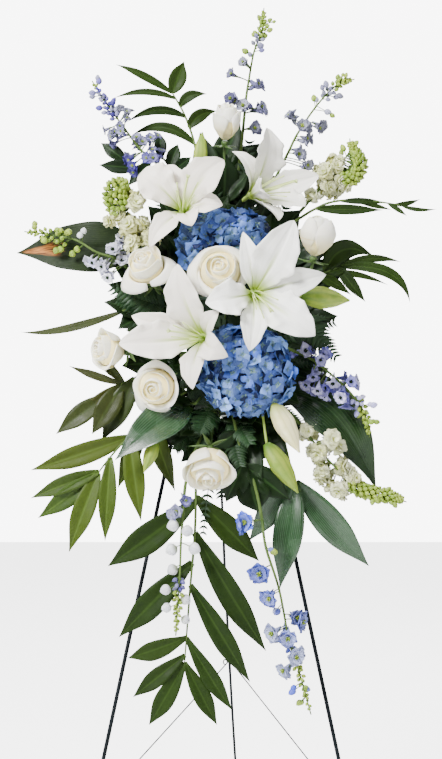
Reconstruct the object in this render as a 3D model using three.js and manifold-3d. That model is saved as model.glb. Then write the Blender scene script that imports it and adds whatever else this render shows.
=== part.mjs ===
// A standing funeral spray: white lilies and roses, blue hydrangeas, delphinium, snapdragons, palm fronds,
// broad leaves and fern, pushed into a block of wet foam that hangs in its tray on a folding wire easel.
// Millimetres, +Z up, the front of the spray faces -Y, and the part stands on its three feet at z = 0.
import * as THREE from "three";
import Module from "manifold-3d";
import { ConvexGeometry } from "three/addons/geometries/ConvexGeometry.js";
import { mergeVertices } from "three/addons/utils/BufferGeometryUtils.js";

const wasm = await Module();
wasm.setup();
const { Manifold } = wasm;

// Easel: a 48 inch wire easel of bent steel rod.
const LEG_LENGTH = 1219;
const FRONT_FOOT_FORWARD = 290;
const FRONT_FOOT_SIDE = 243;
const APEX_HEIGHT = Math.sqrt(LEG_LENGTH ** 2 - FRONT_FOOT_FORWARD ** 2 - FRONT_FOOT_SIDE ** 2);
const FRAME_LENGTH = Math.hypot(FRONT_FOOT_FORWARD, APEX_HEIGHT);
const LEG_RADIUS = 3.2;
const APEX_BEND = 14;
const BAR_RADIUS = 2.5;
const HINGE_DOWN = 95;
const HOOK_RIGHT = 8;
const EYE_RIGHT = -10;
const BACK_LEG_RADIUS = 2.4;
const BACK_FOOT_BEHIND = 310;
const BACK_FOOT_RIGHT = 38;
const BACK_LEG_BOW = 7;
const WIRE_RADIUS = 1.1;
const BRACE_DOWN = 968;
const BRACE_HEIGHT = 361;
const RUN_GAP = 0.5;
const ROD_SIDES = 8;

// Foam block, and the tray that hangs on the easel's hook.
const FOAM_WIDTH = 108;
const FOAM_LENGTH = 226;
const FOAM_DEPTH = 78;
const FOAM_DOWN = 240;
const PLATE = 3;
const WALL = 2.4;
const RIM = 12;
const HOOP_UP = 62;
const HOOP_WIDE = 5;
const GAP = 0.4;
const STEM_SUNK = 26;
const FOCUS_OUT = 30;

// Places of flowers and leaves are read off the front view, as the column and row of a 442 x 759 picture
// and the distance forward of the easel's apex. A place keeps its column and row as it comes forward.
const CENTRE_COLUMN = 221;
const EYE_ROW = 379.5;
const EYE_HEIGHT = 876;
const EYE_DISTANCE = 2750;
const SCALE_DISTANCE = 2600;
const MM_PER_PIXEL = 1.6;

const v3 = (x, y, z) => new THREE.Vector3(x, y, z);
const along = (point, direction, distance) => point.clone().addScaledVector(direction, distance);
const mix = (a, b, t) => a.clone().lerp(b, t);
const between = (value, low, high) => Math.max(low, Math.min(high, value));
const UP = v3(0, 0, 1);
const RIGHT = v3(1, 0, 0);
const FRONT = v3(0, -1, 0);
const heading = (right, up, front) => v3(right, -front, up).normalize();

function seen([column, row, forward]) {
  const scale = (MM_PER_PIXEL * (EYE_DISTANCE - forward)) / SCALE_DISTANCE;
  return v3((column - CENTRE_COLUMN) * scale, -forward, EYE_HEIGHT + (EYE_ROW - row) * scale);
}

// Solids. While `swell` is above 0 every shape comes out thicker by it, which gives the space that a piece
// needs for itself: its neighbours are cut back to leave that space free.
let swell = 0;

function solidFrom(positions, triangles) {
  const make = (list) =>
    new Manifold(
      new wasm.Mesh({
        numProp: 3,
        vertProperties: new Float32Array(positions),
        triVerts: new Uint32Array(list.flat()),
      }),
    );
  const solid = make(triangles);
  return solid.volume() > 0 ? solid : make(triangles.map(([a, b, c]) => [c, b, a]));
}

function solidOf(geometry) {
  const bare = new THREE.BufferGeometry().setAttribute("position", geometry.getAttribute("position"));
  const merged = mergeVertices(bare.setIndex(geometry.index), 1e-4);
  const index = Array.from(merged.index.array);
  const triangles = index.flatMap((_, i) => (i % 3 ? [] : [index.slice(i, i + 3)]));
  return solidFrom(Array.from(merged.attributes.position.array), triangles);
}

// A closed skin over a row of rings. A ring is a loop of points, or a single point at a tip. In a flat skin
// the first half of each ring is its upper face and both faces are split into the same triangles.
function skin(rings, flat = false) {
  const starts = rings.map((_, i) => rings.slice(0, i).reduce((sum, ring) => sum + ring.length, 0));
  const count = Math.max(...rings.map((ring) => ring.length));
  const triangles = [];
  for (let i = 0; i + 1 < rings.length; i++) {
    const at = (level, j) => starts[level] + (rings[level].length > 1 ? j % count : 0);
    for (let j = 0; j < count; j++) {
      const [a, b, c, d] = [at(i, j), at(i, j + 1), at(i + 1, j), at(i + 1, j + 1)];
      const turned = flat && j >= count / 2;
      triangles.push(...(turned ? [[a, b, c], [b, d, c]] : [[a, b, d], [a, d, c]]));
    }
  }
  // Closes an end ring with triangles between its first half and its second.
  const close = (start, reverse) => {
    for (let j = 1, k = count - 1; j < k; j++, k--) {
      const rungs = [[j - 1 === 0 ? 0 : k + 1, j - 1, j], [j - 1 === 0 ? 0 : k + 1, j, k]];
      const kept = rungs.map((rung) => rung.map((n) => start + n));
      triangles.push(...kept.map((t) => (reverse ? t.reverse() : t)));
    }
    if (count % 2 === 0) {
      const half = count / 2;
      const last = [half + 1, half - 1, half].map((n) => start + n);
      triangles.push(reverse ? last.reverse() : last);
    }
  };
  if (rings[0].length > 1) close(starts[0], true);
  if (rings.at(-1).length > 1) close(starts.at(-1), false);
  const whole = triangles.filter(([a, b, c]) => a !== b && b !== c && c !== a);
  return solidFrom(rings.flat().flatMap((p) => [p.x, p.y, p.z]), whole);
}

function across(direction) {
  const helper = Math.abs(direction.z) < 0.9 ? UP : RIGHT;
  return helper.clone().cross(direction).normalize();
}

// A direction square to an axis, at a turn round it.
function around(axis, turn) {
  const side = across(axis);
  const up = axis.clone().cross(side);
  return side.multiplyScalar(Math.cos(turn)).addScaledVector(up, Math.sin(turn));
}

function tangents(points) {
  return points.map((_, i) => {
    const after = points[Math.min(i + 1, points.length - 1)];
    return after.clone().sub(points[Math.max(i - 1, 0)]).normalize();
  });
}

// A round rod, stem or bud: one radius for each point, and 0 for a pointed end.
function tube(points, radii, sides = 6) {
  const directions = tangents(points);
  let normal = across(directions[0]);
  const last = points.length - 1;
  const rings = points.map((point, i) => {
    const t = directions[i];
    normal = along(normal, t, -normal.dot(t)).normalize();
    const binormal = t.clone().cross(normal);
    const r = Array.isArray(radii) ? radii[i] : radii;
    const end = i === 0 ? -1 : i === last ? 1 : 0;
    if (r <= 0) return [along(point, t, end * swell * 2)];
    const centre = along(point, t, end * swell);
    return Array.from({ length: sides }, (_, j) => {
      const turn = (j / sides) * 2 * Math.PI;
      const arm = along(centre, normal, (r + swell) * Math.cos(turn));
      return along(arm, binormal, (r + swell) * Math.sin(turn));
    });
  });
  return skin(rings);
}

// A leaf or petal along a spine, pointed at both ends: the side its width runs to, half its width at each
// point between, its thickness down the middle, and how far its edges rise, as a share of half its width.
function blade(spine, sideAt, halves, thickness, riseAt = () => 0.15, strips = 2) {
  const directions = tangents(spine);
  const last = spine.length - 1;
  const rings = spine.map((point, i) => {
    const t = directions[i];
    if (i === last) return [along(point, t, swell * 3)];
    if (i === 0) return [along(point, t, -swell)];
    const side = sideAt(i, t);
    const normal = t.clone().cross(side).normalize();
    const at = (s, lift) => {
      const rise = riseAt(i, Math.sign(s)) * halves[i] * s * s;
      return along(along(point, side, s * halves[i]), normal, rise + lift);
    };
    const edge = (s) => {
      const out = at(s, 0).sub(at(s * (1 - 2 / strips), 0)).normalize();
      return along(at(s, 0), out, swell * 3);
    };
    const lift = thickness / 2 + swell;
    const inner = Array.from({ length: strips - 1 }, (_, k) => -1 + (2 * (k + 1)) / strips);
    const top = inner.map((s) => at(s, lift));
    const bottom = inner.map((s) => at(s, -lift)).reverse();
    return [edge(-1), ...top, edge(1), ...bottom];
  });
  return skin(rings, true);
}

// A small open flower: lobes round a middle, with a pointed back that reaches to its stalk.
function star(centre, face, radius, lobes, back, dish = 0.15, spin = 0) {
  const rim = Array.from({ length: lobes * 2 }, (_, i) => {
    const way = around(face, spin + (i * Math.PI) / lobes);
    const r = radius * (i % 2 ? 0.52 : 1);
    const grown = 1 + (swell * 3) / r;
    return along(along(centre, way, r * grown), face, dish * radius * (i % 2 ? 0.3 : 1) * grown);
  });
  return skin([[along(back, face, -swell)], rim, [along(centre, face, swell)]]);
}

function bow(from, over, to, count) {
  return new THREE.QuadraticBezierCurve3(from, over, to).getPoints(count);
}

const join = (...parts) => Manifold.union(parts.flat(2));

// The main body of a solid, without scraps that a cut leaves.
const mainBody = (solid) => solid.decompose().sort((a, b) => b.volume() - a.volume())[0];

// The easel

const frameUp = v3(0, FRONT_FOOT_FORWARD, APEX_HEIGHT).normalize();
const frameFront = v3(0, -frameUp.z, frameUp.y);
const apex = v3(0, 0, APEX_HEIGHT);
const splay = (down) => (FRONT_FOOT_SIDE * down) / FRAME_LENGTH;

// A point of the easel's front plane: right of its middle, down from its apex and proud of it.
function onFrame(right, down, proud = 0) {
  return along(along(along(apex, RIGHT, right), frameUp, -down), frameFront, proud);
}

// Cuts feet off flat at the floor.
function standing(solid) {
  const size = 4000;
  return solid.subtract(solidOf(new THREE.BoxGeometry(size, size, size).translate(0, 0, -size / 2)));
}

// A closed wire ring round an axis.
function eye(centre, axis, radius, wire, sides = 8, stretch = 1) {
  const ring = new THREE.TorusGeometry(radius, wire + swell, 5, sides);
  const turn = new THREE.Quaternion().setFromUnitVectors(UP, axis);
  return solidOf(ring.scale(1, stretch, 1).applyQuaternion(turn).translate(...centre.toArray()));
}

const hinge = onFrame(EYE_RIGHT, HINGE_DOWN);
const backFoot = v3(BACK_FOOT_RIGHT, BACK_FOOT_BEHIND, 0);
const backWay = v3(0, backFoot.y - hinge.y, backFoot.z - hinge.z).normalize();
const backSide = v3(0, -backWay.z, backWay.y);
const hingeEye = BAR_RADIUS + RUN_GAP + BACK_LEG_RADIUS;
const pinEye = 2 * WIRE_RADIUS + RUN_GAP;
const pinBehind = LEG_RADIUS + pinEye;
const pinRight = splay(BRACE_DOWN);

function frontFrame() {
  const floor = FRAME_LENGTH + 12;
  const leg = (side) => {
    const ends = [APEX_BEND, floor].map((down) => onFrame(side * splay(down), down));
    return tube(ends, LEG_RADIUS, ROD_SIDES);
  };
  const bendDown = APEX_BEND + 4;
  const crown = [-1, -0.6, 0, 0.6, 1].map((s) => onFrame(s * splay(bendDown), bendDown - 12 * (1 - s * s)));
  const bar = [-1, 1].map((side) => onFrame(side * splay(HINGE_DOWN), HINGE_DOWN));
  const hook = [[0, 0], [-2, 11], [4, 16], [14, 18]].map(([up, proud]) =>
    onFrame(HOOK_RIGHT, HINGE_DOWN - up, proud),
  );
  const eyelets = [-1, 1].map((side) =>
    eye(onFrame(side * pinRight, BRACE_DOWN, -pinBehind), RIGHT, pinEye, WIRE_RADIUS + 0.3),
  );
  return standing(
    join(
      leg(-1),
      leg(1),
      tube(crown, LEG_RADIUS, ROD_SIDES),
      tube(bar, BAR_RADIUS, ROD_SIDES),
      tube(hook, BAR_RADIUS, 6),
      eyelets,
    ),
  );
}

// The back leg's middle line, from its eye (0) to the floor (1), with the slight bow of a bent rod.
function backLine(t) {
  const start = along(hinge, backSide, hingeEye);
  return along(mix(start, backFoot, t), RIGHT, -4 * BACK_LEG_BOW * t * (1 - t));
}

function backLeg() {
  const line = [0, 0.15, 0.3, 0.45, 0.6, 0.75, 0.9, 1.01].map(backLine);
  return standing(
    join(tube(line, BACK_LEG_RADIUS, ROD_SIDES), eye(hinge, RIGHT, hingeEye, BACK_LEG_RADIUS, 10)),
  );
}

// A wire V that turns in the front legs' eyelets and passes behind the back leg.
function brace() {
  const level = onFrame(0, BRACE_DOWN, -pinBehind);
  const caught = backLine((hinge.z - BRACE_HEIGHT) / hinge.z);
  level.x = caught.x;
  const reach = caught.clone().sub(level).normalize();
  const noseRadius = (BACK_LEG_RADIUS + RUN_GAP + WIRE_RADIUS) * 1.08;
  const nose = [-90, -54, -18, 18, 54, 90].map((degrees) => {
    const turn = THREE.MathUtils.degToRad(degrees);
    return along(along(caught, RIGHT, noseRadius * Math.sin(turn)), reach, noseRadius * Math.cos(turn));
  });
  const pin = (side, out) => onFrame(side * (pinRight + out), BRACE_DOWN, -pinBehind);
  const wire = [pin(-1, 6), pin(-1, -8), ...nose, pin(1, -8), pin(1, 6)];
  const loop = eye(along(nose[0], v3(-1, 0, 0.5).normalize(), 3.9), FRONT, 3.4, WIRE_RADIUS, 8, 1.3);
  return join(tube(wire, WIRE_RADIUS, 6), loop);
}

// The foam and its tray

const foamBack = LEG_RADIUS + GAP + PLATE + GAP;

// A point of the foam: right of its middle, up from its middle and out from its back.
const onFoam = (right, up, out) => onFrame(right, FOAM_DOWN - up, foamBack + out);

// A box of the foam's own directions: its middle to the right and up, and where its back face is.
function foamBox(width, height, depth, right, up, out) {
  const box = new THREE.BoxGeometry(width + 2 * swell, height + 2 * swell, depth + 2 * swell);
  return solidOf(box.translate(right, up, out + depth / 2));
}

// Takes a solid from the foam's own directions to the easel.
function hung(solid) {
  const place = new THREE.Matrix4().makeBasis(RIGHT, frameUp, frameFront).setPosition(onFoam(0, 0, 0));
  return solid.transform(place.elements);
}

function foamTray() {
  const wide = FOAM_WIDTH + 2 * GAP;
  const tall = FOAM_LENGTH + 2 * GAP;
  const besides = (wide + WALL) / 2;
  const above = (tall + WALL) / 2;
  const hoopDeep = FOAM_DEPTH + 2 * GAP + WALL;
  const plate = foamBox(wide + 2 * WALL, tall + 2 * WALL, PLATE, 0, 0, -GAP - PLATE);
  const sides = [-1, 1].flatMap((s) => [
    foamBox(WALL, tall + 2 * WALL, RIM + PLATE, s * besides, 0, -GAP - PLATE),
    foamBox(wide + 2 * WALL, WALL, RIM + PLATE, 0, s * above, -GAP - PLATE),
    foamBox(WALL, HOOP_WIDE, hoopDeep, -besides, s * HOOP_UP, -GAP),
    foamBox(WALL, HOOP_WIDE, hoopDeep, besides, s * HOOP_UP, -GAP),
    foamBox(wide + 2 * WALL, HOOP_WIDE, WALL, 0, s * HOOP_UP, FOAM_DEPTH + GAP),
  ]);
  const tab = foamBox(26, 44, PLATE, HOOK_RIGHT, FOAM_LENGTH / 2 + 20, -GAP - PLATE);
  const hole = [-20, 40].map((proud) => onFrame(HOOK_RIGHT, HINGE_DOWN + 1, proud));
  return hung(join(plate, sides, tab)).subtract(tube(hole, BAR_RADIUS + 2 - 2 * swell, 8));
}

// Stems

// Every stem spreads from a line inside the foam, so that stems don't cross. A nudge moves its point of
// that line. Gives the stem's place in the foam: its end, where it comes out, and its way.
function wayOut(target, [right, up, out]) {
  const local = target.clone().sub(onFoam(0, 0, 0));
  const want = [local.x, local.dot(frameUp), local.dot(frameFront)];
  const focus = [
    between(want[0] * 0.12, -26, 26) + right,
    between(want[1] * 0.5, -FOAM_LENGTH / 2 + 20, FOAM_LENGTH / 2 - 20) + up,
    FOCUS_OUT + out,
  ];
  const way = want.map((value, axis) => value - focus[axis]);
  const sides = [FOAM_WIDTH / 2, FOAM_LENGTH / 2];
  const walls = sides.map((half, axis) => (Math.sign(way[axis]) * half - focus[axis]) / way[axis]);
  const front = way[2] > 0 ? (FOAM_DEPTH - focus[2]) / way[2] : Infinity;
  const reach = Math.min(...walls, front);
  const door = focus.map((value, axis) => value + way[axis] * reach);
  const direction = target.clone().sub(onFoam(...focus)).normalize();
  const place = onFoam(...door);
  const [inside, outside] = [-STEM_SUNK, 12].map((distance) => along(place, direction, distance));
  return { door, direction, inside, outside };
}

// The points of a stem that leaves the foam and arrives at its end along a direction.
function stemPoints(way, end, arriving, count) {
  const reach = way.outside.distanceTo(end) * 0.36;
  const curve = new THREE.CubicBezierCurve3(
    way.outside,
    along(way.outside, way.direction, reach),
    along(end, arriving, -reach),
    end,
  );
  return [way.inside, ...curve.getPoints(count)];
}

// Points every few millimetres along a line of straight runs.
function sampled(points, step = 4) {
  const runs = points.slice(1).flatMap((point, i) => {
    const count = Math.max(1, Math.ceil(point.distanceTo(points[i]) / step));
    return Array.from({ length: count }, (_, k) => mix(points[i], point, k / count));
  });
  return [...runs, points.at(-1)];
}

const NUDGES = [0, 1, 2, 3, 4, 5].flatMap((ring) =>
  [...Array(ring ? 8 : 1).keys()].flatMap((k) => {
    const turn = (k * Math.PI) / 4;
    return [0, 8, -8, 16].map((out) => [ring * 4 * Math.cos(turn), ring * 5 * Math.sin(turn), out]);
  }),
);
const growing = [];

// Finds a stem its own place in the foam, clear of the tray's hoops and rim and of the stems before it.
function stem(end, arriving, radius, count = 3) {
  for (const nudge of NUDGES) {
    const way = wayOut(mix(end, along(end, arriving, -60), 0.5), nudge);
    const [right, up, out] = way.door;
    const byHoop = Math.abs(Math.abs(up) - HOOP_UP) < HOOP_WIDE / 2 + radius * 1.6 + 2;
    const byRim = out < RIM + radius + 4;
    const offEdge = Math.abs(right) > FOAM_WIDTH / 2 - radius - 2 && out > FOAM_DEPTH - radius - 2;
    if (byHoop || byRim || offEdge) continue;
    const points = stemPoints(way, end, arriving, count);
    const samples = sampled(points);
    const free = growing.every((other) => {
      const apart = radius + other.radius + 1;
      return samples.every((p) => other.samples.every((q) => p.distanceToSquared(q) > apart * apart));
    });
    if (!free) continue;
    growing.push({ samples, radius });
    return points;
  }
  throw new Error(`no free place in the foam for a stem to ${end.toArray()}`);
}

const stalk = (points, from, to, sides = 4) =>
  tube(points, points.map((_, i) => from + ((to - from) * i) / (points.length - 1)), sides);

// A stem of one radius that widens into the last few radii given.
const flared = (points, radii) =>
  tube(points, [...points.slice(radii.length - 1).map(() => radii[0]), ...radii.slice(1)], 4);

// Pieces are listed in the order of their claim to space: a later piece is cut back where an earlier one is.
const pieces = [];
function piece(group, name, colour, roughness, build, metalness = 0) {
  pieces.push({ group, name, colour, roughness, metalness, build });
}

const COLOURS = {
  steel: "#1d2420",
  plastic: "#1f3a26",
  foam: "#3f5f3a",
  lily: "#f1eee2",
  rose: "#f0ead6",
  stem: "#5c7a3a",
  throat: "#8aa04a",
  greenBud: "#b5bd6a",
  creamBud: "#dcd9b4",
  hydrangea: "#6f86c4",
  blue: "#4356b8",
  violet: "#6f58ad",
  lavender: "#a9a4d8",
  whiteBlue: "#c9cfe2",
  snapdragon: "#e4dcc0",
  leaf: "#2f4f2b",
  darkLeaf: "#233d22",
  lightLeaf: "#5d7c3c",
  fern: "#3f6634",
};

piece("easel", "easel_front_frame", COLOURS.steel, 0.45, frontFrame, 0.6);
piece("easel", "easel_back_leg", COLOURS.steel, 0.45, backLeg, 0.6);
piece("easel", "easel_brace", COLOURS.steel, 0.45, brace, 0.6);
piece("holder", "foam_tray", COLOURS.plastic, 0.5, foamTray);

// Lilies

// Each petal: its tip, its width in the middle, and how much its edges are waved.
const LILIES = {
  lily_front: {
    centre: [254, 294, 222],
    faces: heading(0.1, 0.02, 1),
    throat: 46,
    petals: [
      { tip: [294, 220, 262], wide: 66, wave: 0.2 },
      { tip: [327, 273, 256], wide: 46, wave: 0 },
      { tip: [315, 336, 262], wide: 62, wave: 0.2 },
      { tip: [251, 351, 266], wide: 42, wave: 0 },
      { tip: [206, 304, 266], wide: 56, wave: 0.2 },
      { tip: [245.6, 231, 258], wide: 34, wave: 0 },
    ],
    pistil: [[262, 300, 275], [270, 310, 295]],
  },
  lily_left: {
    centre: [204, 338, 214],
    faces: heading(-0.45, 0.05, 1),
    throat: 44,
    petals: [
      { tip: [176, 264, 244], wide: 56, wave: 0.2 },
      { tip: [216, 312, 272], wide: 34, wave: 0 },
      { tip: [227, 357, 268], wide: 42, wave: 0.15 },
      { tip: [189, 389, 254], wide: 40, wave: 0 },
      { tip: [118, 344, 252], wide: 58, wave: 0.2 },
      { tip: [128, 316, 226], wide: 40, wave: 0 },
    ],
    pistil: [[190, 334, 260], [170, 331, 282]],
  },
  lily_upper_left: {
    centre: [184, 212, 168],
    faces: heading(-0.1, 0.35, 1),
    throat: 42,
    petals: [
      { tip: [138, 174, 182], wide: 70, wave: 0.15 },
      { tip: [165, 161, 176], wide: 44, wave: 0 },
      { tip: [223, 158, 186], wide: 62, wave: 0.2 },
      { tip: [222, 203, 208], wide: 42, wave: 0 },
      { tip: [191, 226, 232], wide: 42, wave: 0.15 },
      { tip: [147, 243, 212], wide: 38, wave: 0 },
    ],
    pistil: [[184, 196, 222], [188, 178, 230]],
  },
  lily_upper_right: {
    centre: [250, 196, 118],
    faces: heading(0.75, 0.3, 0.75),
    throat: 40,
    petals: [
      { tip: [268, 127, 128], wide: 60, wave: 0.2 },
      { tip: [325, 172, 132], wide: 46, wave: 0 },
      { tip: [308, 204, 150], wide: 42, wave: 0.2 },
      { tip: [284, 218, 182], wide: 40, wave: 0 },
      { tip: [262, 190, 192], wide: 40, wave: 0.15 },
      { tip: [239, 148, 160], wide: 38, wave: 0 },
    ],
    pistil: [[280, 186, 172], [294, 182, 184]],
  },
};

const PETAL_STEPS = 4;
const lilyHalf = (t) => Math.sin(Math.PI * (0.1 + 0.86 * t)) ** 0.8;

function lilyPetal({ centre, faces, throat }, { tip, wide, wave }) {
  const inner = wave > 0;
  const base = seen(centre);
  const end = along(seen(tip), faces, inner ? 2 : -8);
  const way = end.clone().sub(base);
  const out = along(way, faces, -way.dot(faces)).normalize();
  const side = faces.clone().cross(out).normalize();
  const start = along(along(base, out, 5.6), faces, inner ? 4 : 1);
  const over = along(along(base, faces, throat + (inner ? 20 : 4)), out, way.length() * 0.4);
  const spine = bow(start, over, end, PETAL_STEPS);
  // Near the throat a petal is no wider than its share of the way round.
  const halves = spine.map((point, i) => {
    const fromAxis = point.clone().sub(base).dot(out);
    return Math.min((wide / 2) * lilyHalf(i / PETAL_STEPS), fromAxis * (inner ? 0.62 : 0.48));
  });
  const riseAt = (i, edge) => 0.22 + wave * ((i + (edge > 0 ? 1 : 0)) % 2 ? 1 : -0.6);
  return blade(spine, () => side, halves, 1.5, riseAt, inner ? 4 : 2);
}

// Stem, pistil and filaments in one piece, through the hole in the petals' base.
function lilyStem({ centre, faces, pistil }, points, extra = []) {
  const base = seen(centre);
  const [bent, end] = pistil.map(seen);
  const style = tube([base, bent, end, along(end, faces, 3)], [1.4, 1.4, 1.3, 3], 4);
  const filaments = [0, 1, 2, 3, 4, 5].map((k) => {
    const out = around(faces, (k * Math.PI) / 3 + 0.4);
    return tube([along(base, out, 2.9), along(mix(bent, end, 0.5), out, 18)], [0.8, 0.7], 3);
  });
  const seat = [along(base, faces, -3), along(base, faces, 1.5)];
  return join(flared([...points, ...seat], [3, 4.4, 4.4]), style, filaments, extra);
}

// A bud, narrow at both ends, on a stalk that leaves a stem.
function bud(from, base, tip, wide, sides = 6) {
  const lengths = [0.12, 0.45, 0.8].map((t) => mix(base, tip, t));
  const way = tip.clone().sub(base).normalize();
  const bulb = tube([base, ...lengths, tip], [1.6, wide * 0.42, wide * 0.5, wide * 0.34, 0], sides);
  return join(bulb, tube([from, mix(from, base, 0.5), along(base, way, 3)], 1.8, 4));
}

for (const [name, lily] of Object.entries(LILIES)) {
  const base = seen(lily.centre);
  const points = stem(along(base, lily.faces, -7), lily.faces, 3.4);
  const buds = () => {
    const from = points.at(-2);
    if (name === "lily_upper_left") return bud(from, seen([200, 160, 150]), seen([202.5, 132, 150]), 24);
    if (name === "lily_front") return bud(from, seen([302, 295.5, 196]), seen([350, 300.5, 200]), 34);
    return [];
  };
  piece("lilies", `${name}_stem`, COLOURS.throat, 0.6, () => lilyStem(lily, points, buds()));
  piece("lilies", `${name}_petals`, COLOURS.lily, 0.55, () =>
    join(
      tube([along(base, lily.faces, -2), along(base, lily.faces, 7)], [7, 8.5], 6),
      lily.petals.map((petal) => lilyPetal(lily, petal)),
    ),
  );
}

// Lily buds low in the middle and at the left
{
  const fork = seen([262, 408, 190]);
  const points = stem(fork, heading(0.3, -0.6, 0.7), 2.8);
  const creamBase = seen([273, 404, 216]);
  const creamTip = seen([299.6, 452.7, 230]);
  const stub = along(creamBase, creamTip.clone().sub(creamBase).normalize(), 6);
  piece("lilies", "lily_buds_lower_green", COLOURS.greenBud, 0.6, () =>
    join(
      stalk(points, 2.8, 2.6),
      bud(points.at(-1), seen([266, 444, 205]), seen([298, 493, 222]), 32),
      tube([fork, stub], [2.2, 1.8], 4),
    ),
  );
  piece("lilies", "lily_bud_lower_cream", COLOURS.creamBud, 0.6, () => {
    const lengths = [0.12, 0.45, 0.8].map((t) => mix(creamBase, creamTip, t));
    return tube([creamBase, ...lengths, creamTip], [5, 13, 17, 12, 0], 6);
  });
  const leftBase = seen([155.8, 440.7, 196]);
  const leftTip = seen([143.8, 472.2, 204]);
  const left = stem(leftBase, leftTip.clone().sub(leftBase).normalize(), 2.2);
  piece("lilies", "lily_bud_lower_left", COLOURS.greenBud, 0.6, () =>
    join(stalk(left, 2.2, 1.8), bud(left.at(-2), leftBase, leftTip, 21)),
  );
}

// Roses

const ROSES = {
  rose_top: { centre: [226, 122, 108], faces: heading(0.05, 0.95, 0.3), radius: 24, open: 0.15, tall: 1.4 },
  rose_left: { centre: [146, 268, 196], faces: heading(-0.35, 0.75, 0.85), radius: 32, open: 0.35 },
  rose_centre: { centre: [220, 271, 222], faces: heading(-0.1, 0.3, 1), radius: 36, open: 0.3 },
  rose_far_left: { centre: [109, 350, 176], faces: heading(-0.95, 0.1, 0.6), radius: 30, open: 0.4 },
  rose_lower_left: { centre: [157, 387, 206], faces: heading(-0.25, -0.15, 1), radius: 33, open: 0.35 },
  rose_bottom: { centre: [209, 467, 226], faces: heading(-0.05, -0.75, 0.75), radius: 38, open: 0.3 },
  rose_right: { centre: [317, 237, 176], faces: heading(0.15, 0.95, 0.2), radius: 31.5, open: 0, tall: 1.1 },
};

// One skin round a rose: up its outside to the rim, then down into the fold behind each inner layer and up
// to that layer's edge. Far and high are shares of the radius, and a rose that is still half shut is taller
// by its own share. Each layer has four petals, with a notch between two, turned by its phase.
const PETALS = 4;
const ROSE_BASE = 0.9;
const ROSE_LAYERS = [
  { far: 0.15, high: -ROSE_BASE, notch: 0, dip: 0, phase: 0 },
  { far: 0.72, high: -0.62, notch: 0.05, dip: 0, phase: 0 },
  { far: 0.98, high: -0.08, notch: 0.08, dip: 0, phase: 0 },
  { far: 1.02, high: 0.42, notch: 0.16, dip: 0.18, phase: 0, edge: true },
  { far: 0.8, high: 0.2, notch: 0, dip: 0, phase: 0, fold: true },
  { far: 0.76, high: 0.6, notch: 0.14, dip: 0.14, phase: 1, edge: true },
  { far: 0.54, high: 0.36, notch: 0, dip: 0, phase: 1, fold: true },
  { far: 0.49, high: 0.76, notch: 0.12, dip: 0.12, phase: 2, edge: true },
  { far: 0.3, high: 0.54, notch: 0, dip: 0, phase: 2, fold: true },
  { far: 0.22, high: 0.86, notch: 0.1, dip: 0.06, phase: 0, edge: true },
];

function rosePetals({ centre, faces, radius, open, tall = 1 }) {
  const heart = seen(centre);
  const sides = PETALS * 3;
  const layers = swell > 0 ? ROSE_LAYERS.filter(({ fold }) => !fold) : ROSE_LAYERS;
  const rings = layers.map(({ far, high, notch, dip, phase, edge }) =>
    Array.from({ length: sides }, (_, j) => {
      const seam = (j + phase) % 3 === 0 ? 1 : 0;
      const out = around(faces, (j / sides) * 2 * Math.PI);
      const wide = far * (1 - notch * seam) + (edge ? open * 0.5 * far ** 3 : 0);
      const rise = high - dip * seam;
      const lift = rise > 0 ? swell : -swell;
      return along(along(heart, out, wide * radius + swell), faces, rise * radius * tall + lift);
    }),
  );
  return skin([...rings, [along(heart, faces, radius * tall * (swell > 0 ? 0.9 : 0.66))]]);
}

// The end of a rose's stem, a gap short of the flower's flat base.
const roseNeck = ({ centre, faces, radius, tall = 1 }) =>
  along(seen(centre), faces, -radius * tall * ROSE_BASE - GAP - 0.05);

// A rose's stem, the swelling under the flower and its five sepals.
function roseStem(rose, points) {
  const { faces, radius } = rose;
  const neck = roseNeck(rose);
  const hip = [along(neck, faces, -6), neck];
  const middle = along(neck, faces, -7);
  const sepals = star(middle, faces.clone().negate(), radius * 0.95, 5, along(neck, faces, -1), 0.1);
  return join(flared([...points, ...hip], [2.6, 6, 4.5]), sepals);
}

for (const [name, rose] of Object.entries(ROSES)) {
  const points = stem(along(roseNeck(rose), rose.faces, -12), rose.faces, 2.6);
  piece("roses", `${name}_stem`, COLOURS.stem, 0.65, () => roseStem(rose, points));
  piece("roses", `${name}_petals`, COLOURS.rose, 0.6, () => rosePetals(rose));
}

// Hydrangeas

const HYDRANGEAS = {
  hydrangea_upper: { centre: [224, 243, 152], faces: heading(0, 0.25, 1), wide: 78, tall: 58, deep: 44 },
  hydrangea_lower: { centre: [247, 371, 205], faces: heading(0.1, -0.2, 1), wide: 78, tall: 74, deep: 42 },
};
const FLORETS = 32;
const FLORET_TURN = 0.29;
const DEEP_SPOTS = 112;
const FLORET_DEEP = 9;

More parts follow.
